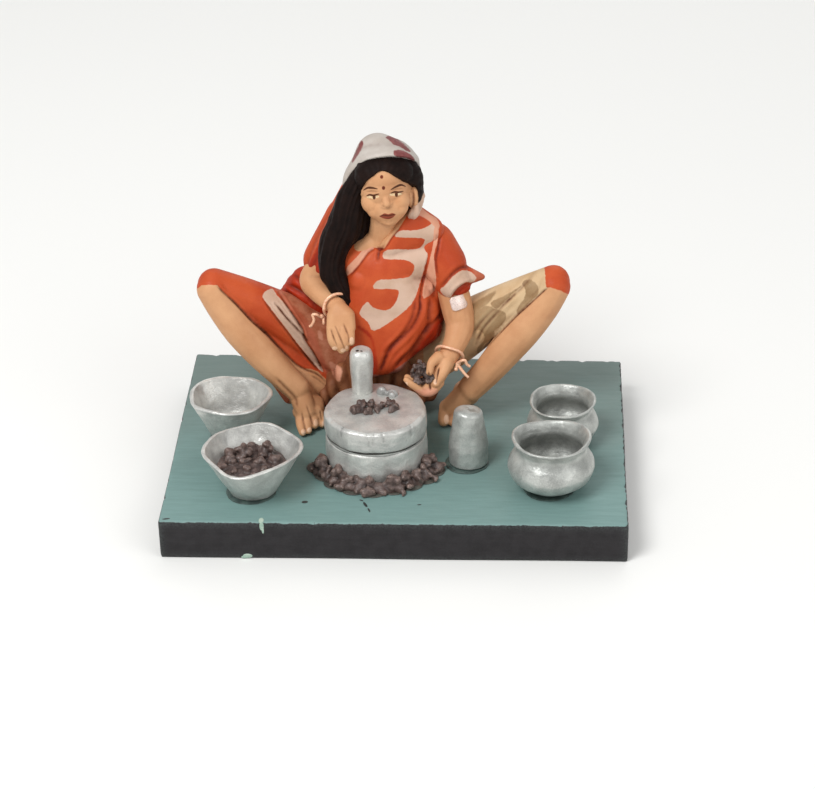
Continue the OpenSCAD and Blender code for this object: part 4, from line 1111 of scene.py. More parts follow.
def makeRightLeg():
    leg = legs["right"]
    bm = legBeads(leg)
    # the skirt's edge shows under the calf, down to the heel
    addChain(bm, [(-46, -11.5, 31.5, 2.6), (-39.5, -12, 21.5, 2.8), (-33.4, -12.2, 12.5, 2.7),
                  (-29.6, -12.4, 5.5, 2.4)])
    # and it hangs between the thigh and the shin
    addWrap(bm, [(-42, -11, 33, 3), (-36, -12, 23, 3), (-28, -13, 11, 3), (-19, -8, 8, 5),
                 (-24, -6, 18, 5)])
    addWrap(bm, [(-24.9, -22.6, 2.8, 2.0), (-20, -20.4, 3.2, 1.9), (-24.4, -17.4, 6.4, 3.4),
                 (-21.6, -15.6, 4.6, 3.2)])
    clay = toClay(bm, "rightLeg", 0.3, 10)
    for line in [[(-33.4, -5.6), (-32.8, -8.7), (-31.8, -12.2)],
                 [(-31.7, -3.6), (-30.7, -6.5), (-29.6, -10)],
                 [(-27.4, -5.2), (-26.9, -8.2)]]:
        press(clay, line, 0.25, 0.28, 0.05, 0.4)
    look(clay)
    # the edge of the skirt, its hanging stripe and the folds beside it
    edge = [(-66, 33.4), (-65, 34.4), (-62.4, 34.6), (-60, 34.4), (-58.3, 32.5), (-54.2, 28.7),
            (-49.4, 23.6), (-44.6, 19.2), (-38.5, 13), (-35.1, 9.6), (-32.3, 7.9), (-28.2, 6.2),
            (-24.5, 2.8)]
    stripe = [(-45, 32.4), (-45.7, 30.8), (-44.6, 29.1), (-41.2, 24.6), (-37.8, 20.2), (-34.4, 15.7),
              (-31, 11.6), (-27.9, 7.9), (-26.5, 7.2), (-27.6, 9.6), (-29.9, 13.4), (-32.3, 17.1),
              (-33, 20.5), (-37.1, 26.7), (-41.2, 31.4), (-42.6, 33.4)]
    press(clay, edge[3:], 0.35, 0.35, 0.12, 0.6)
    press(clay, [(-45.4, 29.9), (-41.4, 24.2), (-38, 19.8), (-34.6, 15.2), (-31.2, 11.2), (-27.4, 7)],
          0.35, 0.3, 0.2, 0.6)
    press(clay, [(-41.6, 28.7), (-37.8, 23.9), (-33, 18.8), (-31, 16.4)], 0.4, 0.34, 0.25, 0.7)
    press(clay, [(-40.5, 32.1), (-37.1, 26.9), (-33.1, 20.7), (-32.2, 17.2), (-29.7, 13.2), (-26.5, 7.2)],
          0.4, 0.38, 0.2, 0.6)
    press(clay, [(-41.2, 4.9), (-38.6, 2.2), (-35.4, -1.2), (-34.9, -4)], 0.25, 0.5, 0.1, 0.5)
    press(clay, [(-29.9, 5.8), (-28, 4.6), (-25.4, 2.4)], 0.2, 0.3, 0.1, 0.3)
    look(clay)
    cloth = onFront(clay, edge + [(-22, -3), (-10, 0), (-10, 60), (-72, 60), (-72, 33)], smooth=0)
    behind = limbSide(clay, leg["thigh"], leg["shin"])
    # under the calf the strip of skirt is cloth, and the foot is bare all round
    low = (clay.co[:, 2] < figureLevel(9)) & (clay.co[:, 0] > place([(-29.5, 0, 0)])[0][0])
    strip, _ = lineDistance(clay.co, place([(-46, -11.5, 31.5), (-39.5, -12, 21.5), (-33, -12.2, 12.5),
                                            (-29.2, -12.4, 5.5)]))
    shinGap, _ = lineDistance(clay.co, place(leg["shin"])[:, :3])
    stripSide = np.minimum(2.75 - strip, shinGap - 4.1) - 6 * ease(-clay.facing, -0.15, 0.3)
    value = np.where(low, -2.0, np.maximum(frontOr(clay, cloth, np.minimum(behind, 2)), stripSide))
    setLayer(clay, "cloth", value)
    setLayer(clay, "stripLow", np.where(low, unpainted, stripSide))
    dull = [(-41.5, 33), (-37, 27.2), (-32.8, 20.9), (-31.9, 17.6), (-29.5, 13.5), (-26.3, 7.6), (-24, 4),
            (-18, 6), (-20, 20), (-28, 34)]
    layOn(clay, "dull", dull, smooth=0)
    layOn(clay, "inner", [(-39.5, 32), (-33, 25.4), (-29.6, 20), (-26.8, 13), (-24, 5), (-16, 4),
                          (-16, 30), (-26, 33)], smooth=0)
    layOn(clay, "stripe", stripe, smooth=2)
    layOn(clay, "hem", [(-32.3, 8.2), (-28.2, 7.2), (-24.5, 3.1), (-25.2, 2.4), (-29.3, 5.5)], smooth=2)
    # the pale patches are painted highlights
    setLayer(clay, "pale", np.maximum.reduce([onFront(clay, patch) for patch in paleHighlightPatches]))
    nail = np.maximum.reduce([spot(clay, -32.8, -11.8, 0.75, 1.0), spot(clay, -30.9, -11.2, 0.7, 0.8),
                              spot(clay, -28.9, -8.9, 0.7, 1.1),
                              spot(clay, -26.6, -9.3, 0.4, 1.0)])
    setLayer(clay, "nail", nail)
    layers = [("cloth", "orange", 0.35, 0.1), ("stripLow", "dullPink", 0.3, 0.3),
              ("dull", "dullPink", 0.5, 0.5), ("inner", "fold", 1.2, 0.7), ("stripe", "cream", 0.5, 0.12),
              ("hem", "beige", 0.3, 0.12), ("pale", "pinkCream", 0.5, 0.3)]
    material = paintedClay("rightLegPaint", "skin", skinLayers + layers, brownShade, 0.85)
    finish(clay, material, ["right_thigh", "right_shin", "right_foot"])


def makeLeftLeg():
    leg = legs["left"]
    bm = legBeads(leg)
    addChain(bm, [(46, -11, 32, 2.2), (40, -11.6, 22.5, 2.2), (35, -11.4, 14, 2.0)])
    clay = toClay(bm, "leftLeg", 0.3, 10)
    edge = [(50.9, 31.3), (49.7, 32.2), (46.7, 33.3), (44.3, 33.7), (42.2, 32), (37.4, 27.6), (34.7, 25.2),
            (31.3, 21.8), (27.9, 18.3), (24.4, 14.6), (22, 11.5), (19.8, 9.1)]
    press(clay, edge[3:], 0.35, 0.35, 0.12, 0.6)
    press(clay, [(40, 38.6), (35.4, 33.2), (31, 29.6), (25, 24.6), (20.4, 19)], 0.25, 0.6, 0.2, 0.25)
    press(clay, [(33.6, 31.4), (28.6, 26.2), (24.2, 21.2), (21.6, 16)], 0.35, 0.5, 0.2, 0.35)
    look(clay)
    cloth = onFront(clay, edge + [(12, 0), (5, 0), (5, 60), (62, 60), (62, 31)], smooth=0)
    behind = limbSide(clay, leg["thigh"], leg["shin"])
    low = clay.co[:, 2] < figureLevel(9)
    strip, _ = lineDistance(clay.co, place([(46, -11, 32), (40, -11.6, 22.5), (35, -11.4, 14)]))
    value = np.where(low, -2.0, np.maximum(frontOr(clay, cloth, np.minimum(behind, 2)), 2.4 - strip))
    setLayer(clay, "cloth", value)
    khaki = np.maximum.reduce([
        onFront(clay, [(36.2, 35.1), (38.1, 36.3), (40.2, 35.4), (41.3, 33.4), (40.8, 31.3), (38.4, 28.9),
                       (34.9, 25.3), (34.7, 27.2), (36.9, 30.6), (37.1, 33)]),
        onFront(clay, [(21, 24.8), (24.4, 27.9), (27.9, 26.9), (30.6, 25.9), (31, 23.8), (29.2, 21.4),
                       (27.5, 20.1), (27.2, 18), (24.4, 16), (22.4, 12.9), (22, 14.6), (24.4, 18),
                       (22.4, 20.4), (20.3, 20.1)]),
        onFront(clay, [(26.1, 28.9), (29.9, 30.8), (33.3, 32.7), (36.1, 34.4), (35.4, 33.7), (32.3, 31),
                       (28.5, 27.2), (27.9, 26.9)])])
    back = np.where(clay.facing < 0.02, np.sin(clay.co[:, 0] / 3.1 + 2 * np.sin(clay.co[:, 2] / 6)) - 0.55,
                    unpainted)
    setLayer(clay, "khaki", np.maximum(khaki, back))
    layOn(clay, "top", [(21, 28.9), (24.4, 30.9), (27.9, 32.6), (26, 29.3), (23.1, 26.9), (20, 24.2),
                        (18, 26)])
    knee = onFront(clay, [(43.2, 42), (47.3, 41), (52, 39), (53, 34.7), (51.4, 31.6), (48, 32.8),
                          (44.9, 33.7), (43.7, 34.1), (43.4, 38.2)])
    kneeBall = 6.6 - np.linalg.norm(clay.co - place([(54, -9.5, 47, 0)])[0][:3], axis=1)
    setLayer(clay, "knee", np.where(clay.facing > 0.02, knee, np.minimum(kneeBall, value)))
    setLayer(clay, "nail", np.maximum(spot(clay, 12.25, -7.8, 0.8, 1.5), spot(clay, 14.8, -8.4, 0.6, 0.9)))
    layers = [("cloth", "sand", 0.35, 0.1), ("khaki", "khaki", 0.7, 0.2), ("top", "khaki", 0.6, 0.35),
              ("knee", "orange", 0.5, 0.15)]
    material = paintedClay("leftLegPaint", "skin", skinLayers + layers, brownShade, 0.85)
    finish(clay, material, ["left_thigh", "left_shin", "left_foot"])


arms = {
    "right": {
        "arm": [(-13, -4.5, 53, 4.6), (-18.5, -4, 48, 4.4), (-21.5, -5.4, 43.8, 4.1),
                (-19.5, -9.5, 42.6, 3.7), (-16.4, -14, 42, 3.3), (-13, -18.4, 41.6, 2.95)],
        "hand": [(-13.7, -21.4, 39.8, 2.3), (-9.6, -21.4, 40.2, 2.3), (-14.2, -23.4, 36.6, 1.9),
                 (-8.9, -23.4, 37, 1.9), (-12.6, -19.4, 41.4, 2.8)],
        "fingers": [[(-14.4, -23.4, 36.8, 1.75), (-14.3, -25, 33.8, 1.5), (-13.4, -25.5, 31.3, 1.15)],
                    [(-12.7, -23.8, 36.6, 1.8), (-12.3, -25.7, 33.2, 1.55), (-11.4, -26, 30.5, 1.2)],
                    [(-10.8, -23.8, 36.8, 1.8), (-10.5, -25.7, 33.8, 1.5), (-10, -26, 31.3, 1.15)],
                    [(-9, -23.4, 37.2, 1.8), (-8.7, -25.2, 35.2, 1.5), (-8.4, -25.7, 33.2, 1.2)]],
    },
    "left": {
        "arm": [(17, -4, 56, 5.4), (20.8, -6.5, 47, 5.1), (23.6, -10.2, 37, 5.0), (24.6, -12.6, 32.2, 4.6),
                (23.6, -16.5, 29.2, 3.9), (21.3, -21.4, 26, 3.1)],
        "hand": [(20.4, -23.4, 24.6, 2.6), (17.4, -26.6, 18.9, 1.8), (14, -27.8, 17.6, 1.4),
                 (13, -25.2, 18.4, 1.4), (17, -24, 20, 1.9)],
        "fingers": [[(18.4, -26.8, 19.6, 1.7), (16.2, -28.2, 17.4, 1.5), (13.6, -28.6, 17.2, 1.35),
                     (11.4, -29.0, 19.2, 1.2), (9.8, -29.4, 20.7, 1.05), (8.4, -29.2, 22, 0.9)],
                    [(17, -24.4, 20, 1.6), (13.4, -25.8, 18.6, 1.4), (10.6, -27, 20.4, 1.15),
                     (8.6, -27.6, 22, 0.95)],
                    [(20.8, -23.6, 25.2, 2.0), (19.6, -26.2, 22.8, 1.65), (17.5, -28.2, 20.0, 1.25)],
                    [(18.2, -23.2, 26.6, 1.9), (16.2, -25.8, 26, 1.4), (15.6, -27.4, 23.8, 1.15)]],
    },
}


def armBeads(arm):
    bm = bmesh.new()
    addChain(bm, arm["arm"], step=0.22)
    addWrap(bm, arm["hand"])
    for run in arm["fingers"]:
        addChain(bm, run)
    return bm


def makeArms():
    clay = toClay(armBeads(arms["right"]), "rightArm", 0.2, 7)
    for line in [[(-22.8, 21.5), (-21.3, 18), (-19.6, 13.8)], [(-20.2, 22.3), (-18.8, 18.7), (-18.4, 16.2)],
                 [(-24.2, 20.6), (-23.2, 17.6), (-22.2, 15)]]:
        press(clay, line, 0.22, 0.24, 0.05, 0.4)
    look(clay)
    setLayer(clay, "nail", np.maximum.reduce([spot(clay, -23.0, 14.6, 0.9, 0.5),
                                              spot(clay, -20.3, 13.9, 0.85, 0.6),
                                              spot(clay, -19.1, 14.9, 0.5, 0.55),
                                              spot(clay, -17.6, 16.9, 0.75, 1.2)]))
    skin = paintedClay("skinPaint", "skin", skinLayers, brownShade, 0.9)
    finish(clay, skin, ["right_arm", "right_hand"])
    clay = toClay(armBeads(arms["left"]), "leftArm", 0.2, 7)
    press(clay, [(9.9, 8.4), (9.3, 5.6), (9, 3.4)], 0.3, 0.25, 0.08, 0.8)
    press(clay, [(6.6, 7.4), (6.9, 4.2), (7.2, 1.4)], 0.3, 0.3, 0.08, 0.8)
    look(clay)
    setLayer(clay, "nail", np.maximum.reduce([spot(clay, -0.4, 3.0, 0.55, 1.0),
                                              spot(clay, 2.6, -0.2, 1.2, 0.55),
                                              spot(clay, 8.7, 4.0, 0.55, 0.9)]))
    palm = 2.2 - np.abs(clay.co[:, 2] - figureLevel(17.4))
    setLayer(clay, "palm", np.where(clay.co[:, 0] < place([(18, 0, 0)])[0][0], palm - 0.8, unpainted))
    both = paintedClay("leftArmPaint", "skin", [("palm", "pinkCream", 0.8, 0.6)] + skinLayers, brownShade,
                       0.9)
    finish(clay, both, ["left_arm", "left_hand"])
    # the crumbs heaped in the cupped palm
    bm = bmesh.new()
    for k, (x, y, z, size) in enumerate([(13.6, -27, 20, 1.6), (11.6, -27.6, 21.4, 1.5),
                                         (14.6, -26.4, 22.2, 1.7), (12.4, -26.8, 23.4, 1.7),
                                         (10.6, -27.2, 22.6, 1.3), (13.4, -26.2, 25.2, 1.5),
                                         (11.4, -26.8, 25.4, 1.3), (12.6, -27, 27.2, 1.1),
                                         (15.2, -27.8, 20.6, 1.4), (16.4, -27, 21.8, 1.2),
                                         (10.2, -27.6, 24.2, 1.0), (14.4, -25.6, 24.2, 1.5),
                                         (12.6, -28.4, 20.8, 1.3)]):
        at = place([(x, y, z)])[0]
        addCrumb(bm, at, size * figureScale, 301 + k)
    finishGrain(bm, "palmGrain", "palm_grain", voxel=0.22)


# the face has its own frame: x to the viewer's right, y back, z up, from between the eyes
face = {"at": (2.4, -16.6, 78.6), "tilt": 7.0}
headBeads = [(-0.2, 8.2, 1.5, 8.7, 9.0, 10.2), (0, 4.6, -5.0, 6.3, 5.6, 6.0),
             (0, 3.0, -8.3, 3.6, 3.2, 2.9), (0, 1.9, -8.9, 2.0, 2.1, 2.0), (3.7, 3.5, -3.2, 3.5, 3.4, 3.8),
             (-4.1, 3.6, -3.1, 3.7, 3.5, 3.9), (0, 4.9, 4.8, 7.2, 5.6, 5.4), (0, 2.3, -6.5, 3.2, 2.6, 2.6),
             (1.5, -0.1, -2.4, 0.8, 0.9, 0.7), (-0.5, -0.1, -2.4, 0.8, 0.9, 0.7),
             (-3.4, 2.9, -5.4, 3.0, 2.9, 3.0), (3.4, 2.9, -5.4, 3.0, 2.9, 3.0),
             (7.4, 6.4, -4.5, 1.8, 2.2, 3.6), (0.9, -0.1, -5.75, 1.35, 0.75, 0.5),
             (-0.9, -0.1, -5.75, 1.35, 0.75, 0.5), (0, 0.0, -6.95, 1.75, 0.8, 0.6),
             (3.5, 1.35, 0.0, 1.75, 1.35, 1.15), (-3.5, 1.35, 0.0, 1.75, 1.35, 1.15),
             (8.7, 5.6, -3.3, 1.35, 1.5, 2.9), (8.3, 5.2, -5.6, 0.9, 1.0, 1.3)]


def facePlace(x, y, z):
    a = math.radians(face["tilt"])
    ox, oy, oz = face["at"]
    return place([(ox + x * math.cos(a) - z * math.sin(a), oy + y,
                   oz + x * math.sin(a) + z * math.cos(a))])[0]


def makeHead():
    bm = bmesh.new()
    tilt = Matrix.Rotation(-math.radians(face["tilt"]), 4, "Y")
    for x, y, z, rx, ry, rz in headBeads:
        k = figureScale
        addBead(bm, facePlace(x, y, z), (rx * k, ry * k, rz * k), tilt,
                fine=(32, 20) if rx > 3 else (20, 14))
    for i in range(13):
        # the bridge of the nose, down to its tip
        f = i / 12
        r = (0.8 + 0.38 * f) * figureScale
        addBead(bm, facePlace(0.5 * f, 0.9 - 1.9 * f ** 1.3, 1.8 - 3.9 * f), (r, r, r), fine=(16, 10))
    addChain(bm, [(1, -6, 57, 6.6), (1.4, -7, 61, 5.1), (2, -8.4, 66, 4.7), (2.2, -7.6, 72, 5)])
    addWrap(bm, [(-5, -8, 55.5, 4.6), (7, -8, 56.5, 4.6), (1, -9.4, 53, 5), (1.4, -7, 60, 4.4)])
    clay = toClay(bm, "head", 0.17, 17)
    for x in (-3.5, 3.5):
        dent(clay, facePlace(x, 0.4, 1.9), 1.5 * figureScale, 0.22)
        dent(clay, facePlace(x * 0.55, 0.4, 0.4), 0.9 * figureScale, 0.35)
    look(clay)
    eyes = {"lids": [[(-12.8, 62.65), (-11.9, 62.95), (-10.8, 62.75), (-9.1, 63.2)],
                     [(-5.2, 63.45), (-4.1, 63.85), (-2.8, 63.75), (-1.4, 64.05)]],
            "brows": [[(-13.9, 64.4), (-12.5, 65.15), (-11, 65.1), (-9.5, 64.8)],
                      [(-5.2, 64.6), (-3.4, 65.6), (-2, 66.05), (-0.6, 65.6)]]}
    # lines pressed at the lids, nose, lips and chin, each with painted shade in its groove
    press(clay, [(-12.9, 62.3), (-11, 62.1), (-9, 62.6)], 0.12, 0.4, 0.05, 0.1)
    press(clay, [(-5.3, 63), (-3.5, 62.9), (-1.3, 63.6)], 0.12, 0.4, 0.05, 0.1)
    press(clay, [(-12.9, 63.9), (-11.2, 64.05), (-9.3, 63.9)], 0.1, 0.25, 0.05, 0.28)
    press(clay, [(-5.2, 64.3), (-3.4, 64.7), (-1.5, 64.9)], 0.1, 0.25, 0.05, 0.28)
    press(clay, [(-8.6, 56.1), (-7.3, 56.35), (-6.1, 56.2), (-4.9, 56.45), (-3.9, 56.65)], 0.25, 0.22,
          0.06, 0.9)
    press(clay, [(-8.6, 58.9), (-7.6, 58.45), (-6.4, 58.4), (-5.3, 59)], 0.1, 0.3, 0.0, 0.25)
    press(clay, [(-7.2, 54.4), (-5.8, 54.2), (-4.5, 54.7)], 0.15, 0.45, 0.0, 0.15)
    # the shadowed line between the jaw and what is behind it
    press(clay, [(1.6, 64.8), (1.9, 61), (1.3, 58.6), (-0.9, 55.6), (-2.6, 53.4)], 0.3, 0.45, 0.0, 0.8)
    look(clay)
    lids = strokes(clay, eyes["lids"], 0.32)
    brows = strokes(clay, eyes["brows"], 0.36, 0.35)
    iris = np.maximum(spot(clay, -10.5, 62.2, 0.5, 0.72), spot(clay, -3.5, 63.0, 0.5, 0.72))
    whites = [(-11.9, 62.2), (-10.8, 62.05), (-9.9, 62.35), (-4.7, 63.0), (-3.6, 62.95), (-2.6, 63.2)]
    white = np.maximum.reduce([spot(clay, x, z, 0.95, 0.36) for x, z in whites])
    setLayer(clay, "white", white)
    setLayer(clay, "ink", np.maximum.reduce([lids, brows, iris]))
    setLayer(clay, "mark", np.maximum.reduce([spot(clay, -7.55, 65.1, 0.52, 0.62),
                                              spot(clay, -8.15, 68.6, 0.5, 0.6)]))
    lips = [(-8.85, 56.1), (-8.1, 56.6), (-7.3, 57.1), (-6.7, 57.0), (-6.1, 56.8), (-5.5, 57.0),
            (-4.9, 57.2), (-4.3, 57.05), (-3.75, 56.7), (-4.4, 55.95), (-5.3, 55.45), (-6.2, 55.3),
            (-7.2, 55.4), (-8.0, 55.7)]
    layOn(clay, "lip", lips, smooth=3)
    side = facePlace(0, 0, 0)
    glow = np.maximum.reduce([1.9 - np.linalg.norm(clay.co - facePlace(x, 0.8, -3.2),
                                                   axis=1) for x in (-4.0, 4.0)])
    setLayer(clay, "blush", glow)
    setLayer(clay, "scalp", clay.co[:, 1] - side[1] - 9.5 * figureScale - 0.5 * (side[2] - clay.co[:, 2])
             * (clay.co[:, 2] < side[2]))
    layers = [("blush", "beige", 0.6, 1.4), ("white", "eyeWhite", 0.05, 0.08), ("ink", "ink", 0.08, 0.09),
              ("mark", "vermilion", 0.1, 0.1), ("lip", "lip", 0.12, 0.1), ("scalp", "hair", 0.4, 0.2)]
    material = paintedClay("facePaint", "skin", layers, brownShade, 0.9,
                           shine=0.48, thumbing=0.05, brush=0.03)
    finish(clay, material, ["head"], hollowGain=3)


hairline = [(-9.2, 70.3), (-10.8, 69.0), (-13.0, 67.4), (-14.3, 65.2), (-14.9, 62.6), (-15.6, 61.2),
            (-15.0, 59.5), (-13.5, 57.5), (-12.8, 55.4), (-12.5, 52), (-13.2, 47), (-2, 47), (1.2, 54),
            (3.2, 58.5), (3.4, 61.5), (3.3, 64.2), (2.6, 65.8), (1.2, 66.3), (-0.2, 67.0), (-2, 67.9),
            (-4.0, 68.9), (-5.9, 70.1), (-7.6, 70.6)]


def sink(clay, loop, amount, soft=0.9, smooth=3):
    # presses a garment or the hair back out of an opening, leaving a rounded edge round it
    depth = inside(clay.st, smoothRun(loop, smooth, closed=True))
    f = ease(depth, -0.1, soft) * (clay.facing > -0.2)
    clay.co -= np.array(backAxis) * (amount * f)[:, None]
    return depth


def makeHair():
    k = figureScale
    bm = bmesh.new()
    tilt = Matrix.Rotation(-math.radians(face["tilt"]), 4, "Y")
    for x, y, z, rx, ry, rz in [(0, 8.8, 2.6, 9.6, 9.7, 10.3), (0, 10, 0, 9.6, 8.4, 9.8),
                                (-5.4, 8, -3.6, 4.4, 4.6, 5.6), (6.4, 9, -1.4, 3.6, 4.6, 5.2),
                                (0.3, 4.7, 5.2, 9.0, 5.9, 6.0), (2.4, 8.6, 0.6, 9.3, 7.4, 9.2),
                                (6.6, 7.4, -2.4, 4.6, 4.4, 6.0)]:
        addBead(bm, facePlace(x, y, z), (rx * k, ry * k, rz * k), tilt, (32, 20))
    clay = toClay(bm, "hairCap", 0.24, 20)
    # combed from the parting down over each ear
    fromPart = clay.s + 8.2 - 0.12 * (clay.t - 70)
    strand = np.arctan2(clay.t - 58, np.abs(fromPart) + 1.5)
    strands = 0.5 + 0.5 * np.sin(strand * 46 + 1.5 * np.sin(clay.co[:, 1] / 2.2) + 0.8
                                 * np.sin(clay.s / 1.3))
    push(clay, -0.12 * strands)
    part = np.exp(-(fromPart / 0.45) ** 2) * ease(clay.t, 69.5, 71.5)
    push(clay, -0.15 * part)
    # painted shade along the parting
    clay.crease += 0.3 * part
    look(clay)
    sink(clay, hairline, 4.0, 0.8)
    # dark painted shade in the creases, brown painted highlights on the edges
    finish(clay, paintedClay("hairPaint", "hair", [], paint(0.03, 0.02, 0.02), 0.6, shine=0.58,
                             thumbing=0.1, brush=0.12, polish=0.1,
                             wornAndHighlit=paint(0.19, 0.12, 0.09)), ["hair_cap"], hollowGain=4)

    bm = bmesh.new()
    fall = [(-5.2, -9.2, 81, 3.4), (-7.2, -9.5, 76.5, 4.3), (-8.6, -9.6, 72, 5.0), (-10.2, -10.2, 66, 5.6),
            (-13, -11, 60.5, 5.2), (-14.4, -11.8, 55.5, 4.6), (-14.4, -13, 51, 4.3), (-12.8, -14, 47, 3.6),
            (-10.8, -15.4, 43.6, 2.4), (-9.2, -16.2, 41.2, 1.2)]
    addChain(bm, fall, step=0.2)
    addChain(bm, [(-5.6, -5, 72, 5.4), (-6, -4.4, 67, 5.6), (-7.4, -4.4, 60, 5.6)])
    clay = toClay(bm, "hairFall", 0.24, 8)
    axis = place(fall)[:, :3]
    _, along = lineDistance(clay.co, smoothRun(axis, 4))
    across = clay.s - np.interp(along, np.linspace(0, 1, len(axis)), stencil(axis)[0])
    strands = 0.5 + 0.5 * np.sin(across * 3.6 + 2.2 * np.sin(along * 9) + 0.9 * np.sin(across * 1.3))
    push(clay, -0.28 * strands)
    # painted shade between the strands
    clay.crease += 0.25 * strands
    finish(clay, bpy.data.materials["hairPaint"], ["hair_fall"], hollowGain=4)


rim = [(-20.2, 64.6), (-18.7, 68.4), (-16.5, 71.3), (-14, 73.4), (-11.4, 74.4), (-6.4, 75.2), (-2.4, 75.1),
       (0.2, 74.8), (2.4, 74.0), (4.4, 72.4), (8, 70), (8, 64.2), (4.6, 63.4), (3.2, 61.7), (1.8, 59.5),
       (0.7, 57.5), (-0.1, 55.6), (-1.5, 52), (-8.7, 45.5), (-18, 36), (-24.4, 33), (-27, 37.7),
       (-27, 44.9), (-26.3, 48.2), (-24.1, 51.8), (-21.9, 55.8), (-19.9, 59.7), (-19.6, 63.0)]


def makeHood():
    bm = bmesh.new()
    addWrap(bm, [(2, -4.5, 80.4, 11.0), (0, -5, 86.4, 7.0), (3, -8.4, 83.4, 9.2)])
    addWrap(bm, [(0, -5, 86.2, 6.6), (-4.4, -5.4, 79.2, 6.1), (-6.2, -4.4, 75.4, 4.9)])
    addWrap(bm, [(2, -3.5, 80, 11), (-1, -1, 68, 9.6)])
    addChain(bm, [(12.4, -7.6, 77.6, 1.5), (12.5, -8.8, 74.6, 1.6), (11.8, -10.4, 72.2, 1.7),
                  (10.8, -11.2, 70.4, 1.7), (10.2, -9.4, 68.4, 1.6)])
    clay = toClay(bm, "hood", 0.26, 14)
    for line, depth in [([(-15.4, 77.4), (-12, 78.6), (-7, 79), (-2.4, 78.2), (1, 76.2)], 0.16),
                        ([(-20.4, 70), (-17.6, 74.4), (-14.6, 78.4)], 0.25),
                        ([(3.4, 61.2), (5.2, 57), (6.4, 53.4)], 0.4),
                        ([(1.9, 59.6), (1.6, 56.8), (0.6, 54.2)], 0.4)]:
        press(clay, line, depth, 0.8, 0.15, 0.3)
    look(clay)
    depth = sink(clay, rim, 5.0, 0.9)
    # the hem is a little thicker than the cloth behind it
    push(clay, 0.28 * np.exp(-((depth + 0.9) / 0.7) ** 2) * (clay.facing > 0))
    look(clay)
    low = figureLevel(72)
    orange = onFront(clay, [(-24, 65.8), (-21, 65.4), (-18.2, 63.6), (-17, 30), (-45, 30), (-45, 60)],
                     smooth=0)
    wild = clay.co[:, 2] + 0.55 * (clay.co[:, 1] - figureAt[1]) - low - 4
    setLayer(clay, "fall", np.where(clay.facing > 0.02, orange, np.minimum(-wild, 3)))
    blotches = [[(-6.9, 81.1), (-4.9, 81.5), (-2, 79.7), (0.9, 76.8), (0, 76.6), (-2, 77.9), (-4.3, 78.8),
                 (-5.8, 80.2)],
                [(-4.3, 76.8), (-2.4, 77.1), (-0.2, 76.4), (1.7, 75), (2.2, 73.6), (-0.5, 74.5),
                 (-3.6, 75), (-4.3, 75.8)],
                [(-14.7, 79.9), (-13.9, 79.3), (-14.5, 77.4), (-15.6, 75.5), (-17.2, 73.1), (-17.5, 73.9),
                 (-16.1, 77)]]
    front = np.maximum.reduce([onFront(clay, b) for b in blotches])
    back = np.where(clay.facing < 0, np.sin(clay.co[:, 0] / 2.9 + 1.4 * np.sin(clay.co[:, 2] / 3.7)) - 0.7,
                    unpainted)
    setLayer(clay, "blotch", np.maximum(front, back))
    layOn(clay, "lining", [(4.6, 64.5), (8, 61.2), (8, 48), (-3, 48), (-1, 56), (1.6, 59.6), (3.2, 62)],
          smooth=0)
    layers = [("blotch", "blotch", 0.7, 0.15), ("fall", "orange", 0.5, 0.12), ("lining", "cream", 0.6, 0.3)]
    material = paintedClay("hoodPaint", "hood", layers, paint(0.42, 0.30, 0.27), 0.6)
    finish(clay, material, ["pallu_hood"])

    bm = bmesh.new()
    addWrap(bm, [(-5, -1, 73, 6.6), (-9.6, -0.6, 62, 7.6)])
    addWrap(bm, [(-9.8, -0.6, 62, 7.8), (-16.8, -1, 48.4, 7.8)])
    addWrap(bm, [(-10, 0, 62, 7.6), (-14, -3, 52, 7), (-4, 3, 50, 8), (-16.6, -1, 44, 6.6)])
    addWrap(bm, [(-4, 0, 73, 7.4), (4, 1, 71, 7.6), (0, 3, 52, 8.4), (-10, 0, 60, 8)])
    clay = toClay(bm, "palluFall", 0.3, 14)
    x, z = clay.co[:, 0] - figureAt[0], clay.co[:, 2] - figureAt[2]
    folds = np.sin((x + 0.42 * (z - 60)) * 1.25 + 1.6 * np.sin(z / 9))
    rear = ease(-clay.facing, 0.0, 0.4)
    push(clay, 0.1 * folds * rear)
    # painted shade in the rear folds
    clay.crease += 0.06 * np.clip(-folds, 0, 1) * rear
    for line in [[(-22.6, 62), (-26.4, 54), (-30, 46), (-32.6, 38)],
                 [(-24.8, 50), (-28.4, 43.6), (-31, 36)]]:
        press(clay, line, 0.3, 0.7, 0.15, 0.45)
    look(clay)
    layOn(clay, "deep", [(-27, 45), (-24.4, 51), (-26.4, 50), (-29.4, 44.6), (-32, 40), (-34, 34),
                         (-24, 32)])
    border = np.minimum(figureLevel(52) - clay.co[:, 2], clay.co[:, 2] - figureLevel(48.6))
    setLayer(clay, "border", np.where(clay.facing < -0.05, border, unpainted))
    layers = [("deep", "deepOrange", 0.8, 0.5), ("border", "cream", 0.6, 0.12)]
    material = paintedClay("fallPaint", "orange", layers, redShade, 0.8)
    finish(clay, material, ["pallu_fall"])


sariStrip = [(9.3, 55), (9.8, 51.6), (9.3, 47.4), (8.3, 43.9), (9, 36.7), (8.5, 32.8), (5.1, 30.2),
             (4.9, 33.6), (6.6, 40.9), (8.1, 47.4), (8.3, 51.6)]


